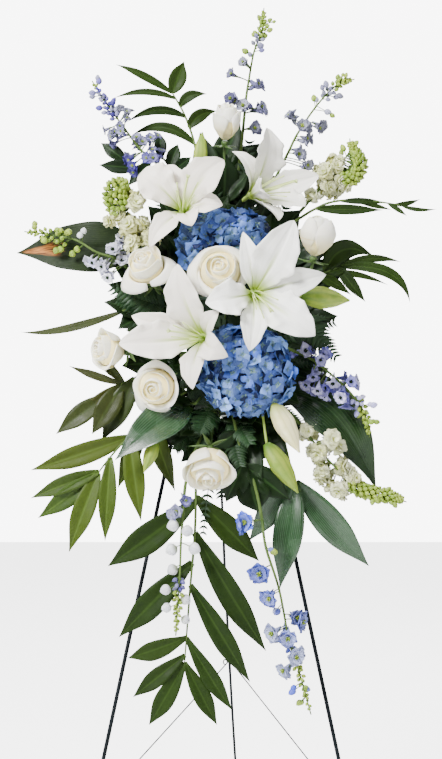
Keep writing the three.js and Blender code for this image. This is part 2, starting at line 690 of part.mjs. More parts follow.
// A domed head all over four-petalled florets, as one skin. The florets' middles, petal tips and notches and
// the deep gaps between them are spread over a ball, joined up there, and then moved out to the head's shape.
function hydrangeaHead({ centre, wide, tall, deep }) {
  const middle = seen(centre);
  const size = v3(wide + swell, deep + swell, tall + swell);
  const golden = Math.PI * (3 - Math.sqrt(5));
  const ball = (k, count, spin = 0) => {
    const high = 1 - (2 * (k + 0.5)) / count;
    const round = Math.sqrt(1 - high * high);
    return v3(round * Math.cos(golden * k + spin), -high, round * Math.sin(golden * k + spin));
  };
  const ways = [...Array(FLORETS).keys()].map((k) => ball(k, FLORETS));
  const spots = ways.flatMap((way, k) => {
    const rim = Array.from({ length: 8 }, (_, i) => {
      const tip = i % 2 === 0;
      const reach = FLORET_TURN * (tip ? 1 : 0.6);
      const side = around(way, k * 1.3 + (i * Math.PI) / 4);
      return { way: along(way, side, reach).normalize(), sunk: tip ? 0 : 4 };
    });
    return [{ way, sunk: 2.5 }, ...rim];
  });
  const gaps = [...Array(DEEP_SPOTS).keys()]
    .map((k) => ({ way: ball(k, DEEP_SPOTS, 1), sunk: FLORET_DEEP }))
    .filter((gap) => spots.every((spot) => spot.way.angleTo(gap.way) > FLORET_TURN * 0.42));
  const all = [...spots, ...gaps];
  const hull = new ConvexGeometry(all.map(({ way }) => way)).getAttribute("position");
  const moved = Array.from({ length: hull.count }, (_, i) => {
    const way = v3(hull.getX(i), hull.getY(i), hull.getZ(i));
    const { sunk } = all.find((spot) => spot.way.distanceTo(way) < 1e-5);
    const out = way.multiply(size);
    return middle.clone().add(out.setLength(out.length() - (swell > 0 ? sunk * 0.5 : sunk)));
  });
  const skinned = new THREE.BufferGeometry().setFromPoints(moved);
  return solidOf(skinned);
}

for (const [name, head] of Object.entries(HYDRANGEAS)) {
  const back = along(seen(head.centre), head.faces, -head.deep * 0.35);
  const points = stem(back, head.faces, 3.6, 3);
  piece("hydrangeas", `${name}_stem`, COLOURS.stem, 0.65, () => stalk(points, 3.6, 3.6));
  piece("hydrangeas", `${name}_head`, COLOURS.hydrangea, 0.7, () => hydrangeaHead(head));
}

// Delphinium and snapdragon spires

// Open flowers are [column, row, radius] and buds [column, row, length], round the spire's stem.
const SPIRES = {
  delphinium_top: {
    colour: COLOURS.blue,
    stem: [[243, 130, 62], [246, 99, 62], [249, 79, 60], [254, 52, 58], [262, 30, 56], [263.7, 11.6, 55]],
    open: [
      [232, 74, 15], [231, 99, 17], [243, 106, 18], [257, 84, 17], [261, 107, 17], [254, 128, 16],
      [243, 62, 12],
    ],
    buds: [
      [245, 51, 14], [261, 46, 14], [255, 33, 12], [270, 30, 12], [265, 36, 12], [270, 20, 10], [259, 17, 10],
    ],
  },
  delphinium_upper_right: {
    colour: COLOURS.blue,
    stem: [[274, 181, 96], [289, 151, 98], [298, 133, 98], [318, 104, 96], [338, 84, 94], [351, 80, 92]],
    open: [[290, 116, 17], [302, 126, 18], [319, 128, 17], [306, 138, 16], [298, 154, 18], [307, 165, 15]],
    buds: [[314, 98, 14], [326, 84, 14], [338, 77, 12], [346, 75, 10], [340, 96, 14], [328, 112, 14]],
  },
  delphinium_upper_left: {
    colour: COLOURS.violet,
    stem: [
      [163, 172, 128], [152, 158, 130], [140, 149, 130], [120, 122, 128], [108, 106, 126],
      [94, 84, 124],
    ],
    open: [
      [133, 165, 18], [153, 158, 17], [142, 142, 18], [126, 112, 15], [112, 136, 16], [121, 131, 15],
      [150, 138, 14],
    ],
    buds: [[99, 81, 14], [92, 93, 14], [104, 96, 13], [113, 102, 13], [99, 108, 13]],
  },
  delphinium_left: {
    colour: COLOURS.whiteBlue,
    stem: [[128, 268, 150], [114, 258, 152], [96, 252, 152], [76, 240, 150], [52, 235, 148], [28, 232, 146]],
    open: [[93, 262, 16], [102, 266, 15], [113, 250, 17], [120, 239, 14], [122, 261, 16], [108, 277, 14]],
    buds: [
      [34, 226, 12], [43, 241, 13], [57, 229, 13], [68, 231, 13], [60, 250, 14], [80, 234, 13], [76, 250, 14],
    ],
  },
  delphinium_right: {
    colour: COLOURS.lavender,
    stem: [
      [296, 352, 160], [313, 360, 166], [333, 376, 170], [350, 392, 170], [364, 412, 168],
      [369, 434, 166],
    ],
    open: [
      [304, 351, 17], [320, 360, 18], [313, 376, 17], [333, 382, 18], [318, 389, 16], [341, 397, 17],
      [350, 382, 15],
    ],
    buds: [[361, 400, 14], [374, 405, 14], [357, 414, 14], [371, 422, 13], [377, 422, 12]],
  },
  delphinium_lower_left: {
    colour: COLOURS.whiteBlue,
    stem: [
      [184, 498, 216], [183, 515, 226], [181, 540, 236], [180, 570, 240], [178, 600, 242],
      [176, 632, 242],
    ],
    open: [[186, 500, 17], [177, 511, 17], [171, 526, 14], [189, 532, 14]],
    buds: [
      [171, 550, 17], [195, 549, 17], [172, 570, 16], [165, 590, 15], [186, 600, 15], [166, 608, 14],
      [186, 620, 13],
    ],
  },
  delphinium_lower_right: {
    colour: COLOURS.blue,
    stem: [
      [262, 520, 214], [266, 548, 228], [279, 589, 240], [289, 640, 246], [298, 668, 248],
      [310, 711, 248],
    ],
    open: [
      [246, 522, 17], [260, 573, 18], [270, 598, 18], [296, 617, 18], [288, 637, 17], [273, 633, 16],
      [296, 657, 16], [284, 670, 15],
    ],
    buds: [[306, 689, 15], [292, 692, 15], [299, 703, 13], [274, 552, 15], [277, 612, 15]],
  },
  snapdragon_left: {
    colour: COLOURS.snapdragon,
    stem: [
      [145, 254, 172], [137, 238, 174], [128, 222, 174], [120, 204, 172], [119, 194, 170],
      [123, 183, 168],
    ],
    open: [[116, 214, 17], [136, 202, 18], [128, 224, 19], [143, 222, 18], [131, 240, 18], [150, 240, 15]],
    buds: [[110, 197, 15], [120, 190, 15], [128, 191, 14], [126, 182, 12]],
  },
  snapdragon_upper_right: {
    colour: COLOURS.snapdragon,
    stem: [
      [310, 200, 108], [320, 188, 110], [333, 172, 110], [344, 160, 108], [350, 150, 106],
      [350, 142, 104],
    ],
    open: [[338, 166, 17], [324, 172, 17], [330, 187, 18], [317, 196, 16], [341, 181, 14]],
    buds: [[343, 148, 14], [355, 154, 14], [352, 168, 14], [356, 143, 12]],
  },
  snapdragon_lower_right: {
    colour: COLOURS.snapdragon,
    stem: [
      [300, 424, 172], [312, 440, 180], [330, 462, 184], [352, 480, 186], [378, 494, 184],
      [403, 501, 182],
    ],
    open: [
      [308, 431, 16], [333, 439, 18], [317, 454, 18], [323, 472, 18], [345, 467, 17], [337, 492, 17],
      [356, 478, 15],
    ],
    buds: [[362, 491, 15], [377, 500, 15], [388, 490, 14], [395, 505, 12]],
  },
};

function nearest(points, target) {
  const distances = points.map((point) => point.distanceTo(target));
  return distances.indexOf(Math.min(...distances));
}

function spire({ stem: marks, open, buds }, points, bell) {
  const line = sampled(marks.map(seen));
  const place = (column, row, proud) => {
    const root = line[Math.max(0, nearest(line, seen([column, row, marks[2][2]])) - 2)];
    const target = seen([column, row, -root.y + proud]);
    return { root, target, out: target.clone().sub(root).normalize() };
  };
  const flowers = open.map(([column, row, radius], k) => {
    const { root, target, out } = place(column, row, [8, 18, 12, 3][k % 4]);
    const face = along(out, FRONT, 0.7).normalize();
    const back = along(target, face, bell ? -radius * 0.9 : -5);
    const pedicel = tube([root, along(target, face, -3)], [0, 1.4], 3);
    return [star(target, face, radius * 0.92, bell ? 4 : 5, back, bell ? 0.45 : 0.2, k), pedicel];
  });
  const closed = buds.map(([column, row, length], k) => {
    const { root, target, out } = place(column, row, k % 2 ? 8 : -4);
    return tube([root, target, along(target, out, length * 0.5)], [0, length * 0.3, 0], 3);
  });
  const tip = along(line.at(-1), line.at(-1).clone().sub(line.at(-2)).normalize(), 6);
  const head = tube([...marks.map(seen), tip], [2.6, 2.4, 2.1, 1.8, 1.6, 3, 0], 4);
  return join(stalk(points, 2.8, 2.6), head, flowers, closed);
}

for (const [name, plant] of Object.entries(SPIRES)) {
  const [first, second] = plant.stem.map(seen);
  const points = stem(first, second.clone().sub(first).normalize(), 2.8);
  piece("spires", name, plant.colour, 0.7, () => spire(plant, points, name.startsWith("snapdragon")));
}

// Leaves and fronds

// A leaf from its base to its tip. It arches by a share of its length and its face looks along a direction.
function leaf(base, tip, wide, shape = {}) {
  const { arch = 0.12, face = FRONT, rise = 0.18, strips = 2, steps = 3, wave = 0, over } = shape;
  const length = base.distanceTo(tip);
  const spine = bow(base, along(over ?? mix(base, tip, 0.5), face, arch * length), tip, steps);
  const halves = spine.map((_, i) => (wide / 2) * Math.sin(Math.PI * (0.14 + 0.76 * (i / steps))) ** 0.8);
  const riseAt = (i, edge) => rise + wave * ((i + (edge > 0 ? 1 : 0)) % 2 ? 1 : -1);
  return blade(spine, (_, t) => face.clone().cross(t).normalize(), halves, 1.3, riseAt, strips);
}

// Leaflets along a rib. Each leaflet is [base column, base row, tip column, tip row, width, lean forward],
// and a curved one adds the column and row its middle is pulled towards.
function frond({ rib, leaflets }, points) {
  const line = sampled(rib.map(seen));
  const blades = leaflets.map(([column, row, tipColumn, tipRow, wide, lean, ...pull], k) => {
    const root = line[Math.min(nearest(line, seen([column, row, rib[0][2]])), line.length - 2)];
    const tip = seen([tipColumn, tipRow, -root.y + lean]);
    const face = along(FRONT, UP, k % 2 ? 0.15 : -0.15).normalize();
    const curve = pull.length ? { over: seen([...pull, -root.y + lean / 2]), steps: 5 } : {};
    return leaf(root, tip, wide, { face, rise: 0.2, ...curve });
  });
  const bone = tube(rib.map(seen), rib.map((_, i) => 2.6 - (1.4 * i) / (rib.length - 1)), 4);
  return join(stalk(points, 2.6, 2.6), bone, blades);
}

const FRONDS = {
  palm_frond_top: {
    colour: COLOURS.leaf,
    rib: [[201, 182, 84], [194.5, 144, 84], [185.5, 117, 82], [176, 99, 78], [171, 91, 76]],
    leaflets: [
      [170.4, 91, 116, 64.5, 13, 8],
      [176, 99, 114, 98, 11, -8],
      [185.5, 117, 127, 122, 14, 10],
      [194.5, 144, 132, 135, 17, -14],
      [171, 91, 184, 61.3, 28, -6],
      [181, 105.5, 207, 94, 17, 8],
      [191, 128, 217, 111, 21, -10],
    ],
  },
  palm_frond_upper_left: {
    colour: COLOURS.darkLeaf,
    rib: [[186, 186, 112], [172, 172, 110], [161, 158, 106], [137, 168, 100], [124, 160, 98]],
    leaflets: [
      [161, 155, 160, 133, 20, -10],
      [171, 167, 178, 144, 22, -8],
      [172, 172, 191, 157, 20, -6],
      [126, 159, 101, 143, 22, -8],
      [137, 168, 99, 165, 22, 0],
      [150, 164, 128, 186, 20, 6],
    ],
  },
  palm_frond_lower_left: {
    colour: COLOURS.leaf,
    rib: [[150, 412, 138], [134, 432, 158], [118, 448, 172], [104, 465, 176], [97, 475, 172]],
    leaflets: [
      [126, 441, 31, 470, 34, -10],
      [104, 466, 31, 498, 27, -6],
      [98, 474, 38, 518, 31, -10],
      [98, 474, 69, 552, 34, 8],
      [111, 459, 105, 541, 27, 10],
      [133, 447, 141, 521, 32, 8],
      [150, 426, 118, 488, 28, -12],
      [150, 420, 175, 491, 30, 6],
    ],
  },
  palm_frond_bottom: {
    colour: COLOURS.leaf,
    rib: [[196, 476, 166], [195, 530, 200], [190, 590, 220], [187, 630, 224], [184.5, 665, 220]],
    leaflets: [
      [186, 505, 108, 566, 45, 4],
      [190, 566, 119, 637, 40, -4],
      [188, 629, 128, 658, 30, -8],
      [185, 647, 133, 697, 27, -4],
      [184, 667, 149, 725, 30, -4],
      [205, 500, 259, 561, 39, -6],
      [196, 536, 266, 651, 39, -8],
      [189.5, 589, 250, 682, 32, -8],
      [188, 630, 232, 710, 26, -4],
      [184.5, 661, 217, 725, 27, -6],
    ],
  },
  palm_fan_right: {
    colour: COLOURS.leaf,
    rib: [[318, 276, 146], [326, 272, 146], [334, 269, 146], [342, 266, 144]],
    leaflets: [
      [342, 266, 400.5, 262, 13, -6, 371, 252],
      [342, 266, 410, 302.5, 18, 4, 402, 264],
      [339, 268, 365.5, 302, 19, 10],
      [326, 274, 388, 285, 10, -12, 358, 273],
      [322, 262, 373, 255.5, 34, -14, 336, 236],
      [322, 275, 350, 258, 20, -6, 342, 272],
      [318, 276, 351, 295, 17, -4, 334, 280],
    ],
  },
  ruscus_upper_right: {
    colour: COLOURS.leaf,
    rib: [
      [300, 218, 128], [314, 209.5, 128], [330, 202.5, 128], [350, 200, 126], [372, 201, 124],
      [390, 203.5, 122], [404, 206, 121],
    ],
    leaflets: [
      [316, 210, 383, 210, 16, 10],
      [341, 202, 387, 203, 11, -8],
      [354, 201, 392, 210, 8, -4],
      [388, 203, 407, 216, 8, 6],
      [396, 205, 420.5, 199, 8, -6, 406, 205],
      [402, 206, 437, 209, 7, 0, 416, 213],
    ],
  },
  leaves_lower_left: {
    colour: COLOURS.lightLeaf,
    rib: [[158, 372, 150], [140, 376, 152], [122, 384, 152], [104, 398, 150]],
    leaflets: [
      [122, 384, 69, 366, 13, -8],
      [106, 396, 56, 434, 32, 4],
      [122, 384, 92, 434, 36, 10],
      [136, 378, 102, 441, 38, -8],
      [122, 384, 79, 412, 17, -4],
      [124, 382, 92, 352, 16, -8],
    ],
  },
  leaves_behind_top: {
    colour: COLOURS.darkLeaf,
    rib: [[208, 214, 52], [210, 200, 48], [214, 186, 42], [218, 170, 38]],
    leaflets: [
      [218, 172, 240, 120, 46, 0],
      [216, 182, 272, 142, 46, -10],
      [213, 188, 200, 132, 44, 0],
      [211, 198, 290, 178, 40, -14],
    ],
  },
  dark_leaves_lower: {
    colour: COLOURS.darkLeaf,
    rib: [[236, 430, 176], [240, 448, 180], [245, 466, 184], [250, 480, 184]],
    leaflets: [
      [236, 432, 214, 448, 26, 10],
      [246, 462, 226, 502, 42, 2],
      [250, 476, 258, 512, 50, 4],
      [246, 466, 290, 500, 40, -6],
    ],
  },
  glossy_leaves_lower_right: {
    colour: COLOURS.leaf,
    rib: [[284, 440, 152], [288, 456, 158], [292, 472, 162], [296, 484, 162]],
    leaflets: [
      [288, 476, 249, 541, 40, 8],
      [298, 486, 280, 588, 46, 14],
      [296, 484, 369, 566, 46, 0],
    ],
  },
};

for (const [name, plant] of Object.entries(FRONDS)) {
  const [first, second] = plant.rib.map(seen);
  const points = stem(first, second.clone().sub(first).normalize(), 2.6);
  piece("foliage", name, plant.colour, 0.5, () => frond(plant, points));
}

const BROAD_LEAVES = {
  broad_leaf_left: {
    base: [134, 248, 118], tip: [17, 253, 112], wide: 84,
    face: heading(-0.1, 0.3, 1), arch: 0.1,
  },
  broad_leaf_right: {
    base: [286, 394, 140], tip: [376, 489, 152], wide: 94,
    face: heading(0.3, 0.5, 1), arch: 0.14, over: [336, 404, 146],
  },
  narrow_leaf_left: {
    base: [122, 311, 132], tip: [21, 332, 128], wide: 14,
    face: heading(-0.1, 0.4, 1), arch: 0.08, over: [60, 340, 130],
  },
  glossy_leaf_centre: {
    base: [189, 404, 164], tip: [115, 460, 212], wide: 62,
    face: heading(0.2, 0.6, 1), arch: 0.2,
  },
};

for (const [name, { base, tip, wide, face, arch, over }] of Object.entries(BROAD_LEAVES)) {
  const root = seen(base);
  const end = seen(tip);
  const points = stem(root, end.clone().sub(root).normalize(), 2.4);
  const shape = { face, arch, strips: 4, steps: 6, rise: 0.14, wave: 0.05, over: over && seen(over) };
  piece("foliage", name, COLOURS.darkLeaf, 0.45, () =>
    join(stalk(points, 2.4, 2.2), leaf(mix(points.at(-2), root, 0.9), end, wide, shape)),
  );
}

// Fern: pairs of narrow side leaves, longest near the base.
const FERNS = {
  fern_right: { rib: [[300, 318, 150], [312, 330, 160], [324, 344, 162], [336, 357, 160]], longest: 34 },
  fern_left: { rib: [[166, 306, 150], [150, 302, 160], [132, 296, 162], [112, 288, 160]], longest: 36 },
};

function fern({ rib, longest }, points) {
  const line = rib.slice(1).flatMap((mark, i) => [0, 0.5].map((t) => mix(seen(rib[i]), seen(mark), t)));
  const directions = tangents(line);
  const pinnae = line.slice(1, -1).flatMap((root, i) => {
    const t = (i + 1) / line.length;
    const side = FRONT.clone().cross(directions[i + 1]).normalize();
    return [-1, 1].map((hand) => {
      const reach = longest * (1 - t * 0.85) + 6;
      const tip = along(along(root, side, hand * reach), directions[i + 1], reach * 0.6);
      return leaf(root, tip, 12 - 4 * t, { steps: 2, arch: 0.08 });
    });
  });
  const tip = leaf(line.at(-1), along(seen(rib.at(-1)), directions.at(-1), 8), 8, { steps: 2 });
  const bone = tube(rib.map(seen), rib.map((_, i) => 1.8 - (0.8 * i) / (rib.length - 1)), 4);
  return join(stalk(points, 2, 1.8), bone, pinnae, tip);
}

for (const [name, plant] of Object.entries(FERNS)) {
  const [first, second] = plant.rib.map(seen);
  const points = stem(first, second.clone().sub(first).normalize(), 2);
  piece("foliage", name, COLOURS.fern, 0.7, () => fern(plant, points));
}

// The foam comes last: every stem's space is cut out of it as a plain hole.
piece("holder", "foam_block", COLOURS.foam, 0.95, () =>
  hung(foamBox(FOAM_WIDTH, FOAM_LENGTH, FOAM_DEPTH, 0, 0, 0)),
);

// Cutting back and placing

// A solid's points and triangles, with points that all but touch made one. Triangles that collapse by that
// are dropped, and so are two that come to lie back to back.
function clean(solid) {
  const { vertProperties, triVerts } = solid.getMesh();
  const numbers = new Map();
  const points = [];
  const number = (i) => {
    const place = [0, 1, 2].map((axis) => Math.round(vertProperties[i * 3 + axis] * 1000) / 1000);
    const key = place.join(" ");
    if (!numbers.has(key)) numbers.set(key, points.push(place) - 1);
    return numbers.get(key);
  };
  const kept = new Map();
  for (let i = 0; i < triVerts.length; i += 3) {
    const triangle = [0, 1, 2].map((k) => number(triVerts[i + k]));
    if (new Set(triangle).size < 3) continue;
    const key = [...triangle].sort((a, b) => a - b).join(" ");
    if (kept.has(key)) kept.delete(key);
    else kept.set(key, triangle);
  }
  return { points: points.flat(), triangles: [...kept.values()].flat() };
}

const spray = new THREE.Group();
const groups = {};
const claimed = [];

function touches(a, b) {
  const [p, q] = [a.boundingBox(), b.boundingBox()];
  return [0, 1, 2].every((axis) => p.min[axis] < q.max[axis] && q.min[axis] < p.max[axis]);
}

for (const { group, name, colour, roughness, metalness, build } of pieces) {
  let solid = build();
  for (const space of claimed) {
    if (!touches(solid, space.solid) || solid.intersect(space.solid).volume() < 1e-6) continue;
    solid = mainBody(solid.subtract(space.solid));
  }
  swell = GAP;
  claimed.push({ name, solid: build() });
  swell = 0;
  const { points, triangles } = clean(solid);
  const geometry = new THREE.BufferGeometry();
  geometry.setAttribute("position", new THREE.Float32BufferAttribute(points, 3));
  geometry.setIndex(triangles);
  const material = new THREE.MeshStandardMaterial({ color: colour, roughness, metalness });
  const mesh = new THREE.Mesh(geometry, material);
  mesh.name = name;
  groups[group] ??= new THREE.Group();
  groups[group].add(mesh);
}

spray.add(...Object.values(groups));
const box = new THREE.Box3().setFromObject(spray);
spray.position.set(-(box.min.x + box.max.x) / 2, -(box.min.y + box.max.y) / 2, -box.min.z);

export default spray;
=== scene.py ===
# %% [markdown]
# # A standing funeral spray on a wire easel
# White lilies and roses, blue hydrangeas, delphinium and snapdragons are pushed into a block of soaked
# foam. The block sits in a tray that hangs on a folding easel of bent rod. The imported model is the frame:
# it has every part's place and size, and this lesson gives each part its real surface.

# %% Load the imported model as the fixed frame
import math
import random
import bpy
import numpy as np
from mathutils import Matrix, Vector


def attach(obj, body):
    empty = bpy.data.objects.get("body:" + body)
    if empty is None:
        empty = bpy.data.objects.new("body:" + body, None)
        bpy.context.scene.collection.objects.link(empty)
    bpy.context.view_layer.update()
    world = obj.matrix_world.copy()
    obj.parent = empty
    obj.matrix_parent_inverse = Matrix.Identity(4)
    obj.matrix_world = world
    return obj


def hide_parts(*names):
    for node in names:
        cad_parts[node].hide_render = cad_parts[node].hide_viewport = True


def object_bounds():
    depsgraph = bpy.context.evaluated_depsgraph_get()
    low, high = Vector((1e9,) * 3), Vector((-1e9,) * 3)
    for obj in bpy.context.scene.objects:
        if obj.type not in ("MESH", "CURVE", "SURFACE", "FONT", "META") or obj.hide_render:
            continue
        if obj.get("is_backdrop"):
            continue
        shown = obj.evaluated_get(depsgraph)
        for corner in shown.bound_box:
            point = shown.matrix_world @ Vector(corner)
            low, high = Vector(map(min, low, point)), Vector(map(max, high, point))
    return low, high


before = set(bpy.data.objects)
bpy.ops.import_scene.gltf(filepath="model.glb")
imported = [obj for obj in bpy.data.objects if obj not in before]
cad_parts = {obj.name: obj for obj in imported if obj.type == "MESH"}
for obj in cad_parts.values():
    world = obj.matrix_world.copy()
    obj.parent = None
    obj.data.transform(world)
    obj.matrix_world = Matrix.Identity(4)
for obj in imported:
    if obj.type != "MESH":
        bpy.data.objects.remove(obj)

cad_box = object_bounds()

# %% [markdown]
# ## Places
# A florist builds a spray to be seen from the front, so each flower's place is given as it is seen there:
# a column and a row of the front view, and how far forward of the easel's top it is, in millimetres. A
# view line keeps its column and row while it comes forward, so its scale shrinks with the distance.

# %% Places from the front view
MM = 0.001
UNDER_THE_TOP = np.array([-9.126, -7.1115, 0.0])
EYE_HEIGHT, EYE_DISTANCE = 876.0, 2750.0
MIDDLE_COLUMN, MIDDLE_ROW = 221.0, 379.5
# One column or row spans 1.6 mm on a plane 2600 mm from the eye.
STEP, STEP_DISTANCE = 1.6, 2600.0
RIGHT, FRONT, UP = np.array([1.0, 0, 0]), np.array([0, -1.0, 0]), np.array([0, 0, 1.0])
# Parts of a turn, in radians.
FIFTH_TURN, QUARTER_TURN = 1.257, 1.57

def unit(v):
    """A vector cut to length 1."""
    return v / np.linalg.norm(v)

def heading(right, up, front):
    """A way, as seen from the front."""
    return unit(np.array([right, -front, up], float))

def seen(place):
    """The point, in millimetres, of a column, a row and a distance forward."""
    column, row, forward = place
    scale = STEP * (EYE_DISTANCE - forward) / STEP_DISTANCE
    return np.array([(column - MIDDLE_COLUMN) * scale, -forward, EYE_HEIGHT + (MIDDLE_ROW - row) * scale])

def seen_all(places):
    return [seen(place) for place in places]

def bow(start, over, end, count):
    """A bend from start to end, pulled towards a third point."""
    t = np.linspace(0, 1, count)[:, None]
    return (1 - t) ** 2 * start + 2 * t * (1 - t) * over + t ** 2 * end

def smooth_path(marks, per_run=6):
    """A soft line through marks, as a bent stem takes."""
    p = np.array([2 * marks[0] - marks[1], *marks, 2 * marks[-1] - marks[-2]])
    out = []
    for i in range(1, len(p) - 2):
        for t in np.arange(per_run) / per_run:
            a, b, c, d = p[i - 1:i + 3]
            out.append(0.5 * (2 * b + (c - a) * t + (2 * a - 5 * b + 4 * c - d) * t ** 2
                              + (3 * b - a - 3 * c + d) * t ** 3))
    return np.array([*out, p[-2]])

print("the middle of the front view is at", seen((MIDDLE_COLUMN, MIDDLE_ROW, 0)), "mm")

# %% [markdown]
# ## Growing surfaces
# Petals and leaves are thin sheets, and stems and buds are round. Each piece below gathers many of them in
# one mesh. A sheet is a grid of points that gets a thickness, thinner at its edges. A round part is a row
# of rings. Modifiers could do it too, but one mesh per flower keeps the scene light. Every point also
# remembers where on its petal it is (along, across), a tone that differs from petal to petal, and a hue,
# so that a material can paint veins and shades without any picture.

# %% A gatherer of sheets and round parts
FACTS = ("along", "across", "tone", "hue")

class Growth:
    def __init__(self):
        self.points, self.faces, self.slots, self.facts, self.count = [], [], [], [], 0

    def add(self, points, faces, slot, along, across, tone, hue):
        points = np.asarray(points, float).reshape(-1, 3)
        n = len(points)
        self.points.append(points)
        self.faces += [tuple(int(k) + self.count for k in face) for face in faces]
        self.slots += [slot] * len(faces)
        facts = [np.broadcast_to(np.asarray(f, float).ravel(), n) if np.size(f) == n else
                 np.full(n, float(f)) for f in (along, across, tone, hue)]
        self.facts.append(np.stack(facts, axis=1))
        self.count += n

    def sheet(self, grid, thick, slot=0, tone=0.5, hue=0.5):
        """A grid of points given two faces and a rim, thinnest at its edges."""
        grid = np.asarray(grid, float)
        n, m, _ = grid.shape
        normal = np.cross(np.gradient(grid, axis=0), np.gradient(grid, axis=1))
        normal /= np.linalg.norm(normal, axis=2, keepdims=True) + 1e-9
        across = np.broadcast_to(np.linspace(-1, 1, m), (n, m))
        along = np.broadcast_to(np.linspace(0, 1, n)[:, None], (n, m))
        half = (thick / 2) * (0.35 + 0.65 * np.sqrt(1 - across ** 2))[..., None]
        k = np.arange(n * m).reshape(n, m)
        a, b, c, d = (x.ravel() for x in (k[:-1, :-1], k[:-1, 1:], k[1:, 1:], k[1:, :-1]))
        top = np.stack([a, b, c, d], 1)
        rim = [*k[0], *k[1:, -1], *k[-1, -2::-1], *k[-2:0:-1, 0]]
        turned = np.roll(rim, -1)
        edge = np.stack([turned, rim, np.add(rim, n * m), np.add(turned, n * m)], 1)
        faces = np.concatenate([top, top[:, ::-1] + n * m, edge])
        both = lambda fact: np.tile(fact.ravel(), 2)
        skins = np.stack([grid + normal * half, grid - normal * half])
        self.add(skins, faces, slot, both(along), both(across), tone, hue)

    def round(self, path, radii, sides=8, slot=0, tone=0.5, hue=0.5, ribs=0, rib_depth=0.0):
        """A round part along a path, with as many soft ribs as asked."""
        path = np.asarray(path, float)
        n = len(path)
        radii = np.broadcast_to(radii, n)
        ways = np.gradient(path, axis=0)
        ways /= np.linalg.norm(ways, axis=1, keepdims=True) + 1e-9
        side = unit(np.cross(ways[0], UP if abs(ways[0][2]) < 0.9 else RIGHT))
        turn = np.linspace(0, 2 * math.pi, sides, endpoint=False)
        shape = 1 + rib_depth * np.cos(ribs * turn)
        rings = []
        for p, t, r in zip(path, ways, radii):
            side = unit(side - t * side.dot(t))
            other = np.cross(t, side)
            around = np.cos(turn)[:, None] * side + np.sin(turn)[:, None] * other
            rings.append(p + r * shape[:, None] * around)
        along = np.repeat(np.linspace(0, 1, n), sides)
        self.shut_rings(rings, slot, tone, hue, along, np.tile(np.cos(turn), n))

    def shut_rings(self, rings, slot=0, tone=0.5, hue=0.5, along=0.5, across=0.0):
        """A stack of rings of points, joined by four-sided faces and shut at both ends."""
        rings = np.asarray(rings, float)
        k = np.arange(rings.shape[0] * rings.shape[1]).reshape(rings.shape[:2])
        beside = np.roll(k, -1, axis=1)
        walls = np.stack([k[:-1].ravel(), beside[:-1].ravel(), beside[1:].ravel(), k[1:].ravel()], 1)
        self.add(rings, [*walls, k[0][::-1], k[-1]], slot, along, across, tone, hue)

    def piece(self, name, body, materials, replaces=(), slot=None):
        """One mesh of all that has grown, in metres, riding on a body and standing for its nodes."""
        mesh = bpy.data.meshes.new(name)
        points = (np.concatenate(self.points) + UNDER_THE_TOP) * MM
        mesh.from_pydata(points.tolist(), [], self.faces)
        for index, fact in enumerate(FACTS):
            layer = mesh.attributes.new(fact, "FLOAT", "POINT")
            layer.data.foreach_set("value", np.concatenate(self.facts)[:, index].astype(np.float32))
        mesh.polygons.foreach_set("use_smooth", [True] * len(mesh.polygons))
        mesh.polygons.foreach_set("material_index", self.slots)
        for material in materials:
            mesh.materials.append(material)
        mesh.update()
        thing = bpy.data.objects.new(name, mesh)
        bpy.context.scene.collection.objects.link(thing)
        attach(thing, body)
        if replaces:
            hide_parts(*replaces)

def spread(count):
    """Turns by the golden angle, the way that plants set out petals and florets."""
    return [k * math.pi * (3 - math.sqrt(5)) for k in range(count)]

def ways_along(path):
    """The unit way of a path at each of its points."""
    ways = np.gradient(path, axis=0)
    return ways / np.linalg.norm(ways, axis=1, keepdims=True)

def sides_of(way):
    """Two ways square to a way and to each other."""
    side = unit(np.cross(way, UP if abs(way[2]) < 0.9 else RIGHT))
    return side, np.cross(way, side)

print("each point keeps", FACTS)

# %% [markdown]
# ## Finishes
# Petals and leaves are not one colour: they are greener at their base, veined, and each differs a little
# from the next. Three effects are shared, so each is a node group: veins that run along or across a
# petal, a mottle of soft patches, and a mask that fades from the base to the tip. A picture could hold
# all this, but nodes keep it sharp at any distance and let each finish use its own values.

# %% Shared effects as node groups
def new_group(name, inputs, outputs):
    group = bpy.data.node_groups.new(name, "ShaderNodeTree")
    for label, value in inputs:
        socket = group.interface.new_socket(name=label, in_out="INPUT", socket_type="NodeSocketFloat")
        socket.default_value = value
    for label in outputs:
        group.interface.new_socket(name=label, in_out="OUTPUT", socket_type="NodeSocketFloat")
    ends = group.nodes.new("NodeGroupInput"), group.nodes.new("NodeGroupOutput")
    return group, *ends

def fact_of(tree, name):
    node = tree.nodes.new("ShaderNodeAttribute")
    node.attribute_type = "GEOMETRY"
    node.attribute_name = name
    return node.outputs["Fac"]

def feed(tree, socket, value):
    """A number or a colour stays on the socket, and anything else is linked to it."""
    if isinstance(value, (int, float)):
        socket.default_value = value
    elif isinstance(value, tuple):
        socket.default_value = (*value, 1.0)
    else:
        tree.links.new(value, socket)

def hold(node, **values):
    """Constant values on a node's sockets. An underscore stands for a space in a socket's name."""
    for label, value in values.items():
        node.inputs[label.replace("_", " ")].default_value = value

def calc(tree, kind, *values):
    node = tree.nodes.new("ShaderNodeMath")
    node.operation = kind
    for socket, value in zip(node.inputs, values):
        feed(tree, socket, value)
    return node.outputs[0]

def less(tree, value):
    return calc(tree, "SUBTRACT", 1.0, value)

def ramp_between(tree, value, low, high):
    node = tree.nodes.new("ShaderNodeMapRange")
    node.interpolation_type = "SMOOTHSTEP"
    for label, given in (("Value", value), ("From Min", low), ("From Max", high)):
        feed(tree, node.inputs[label], given)
    return node.outputs["Result"]

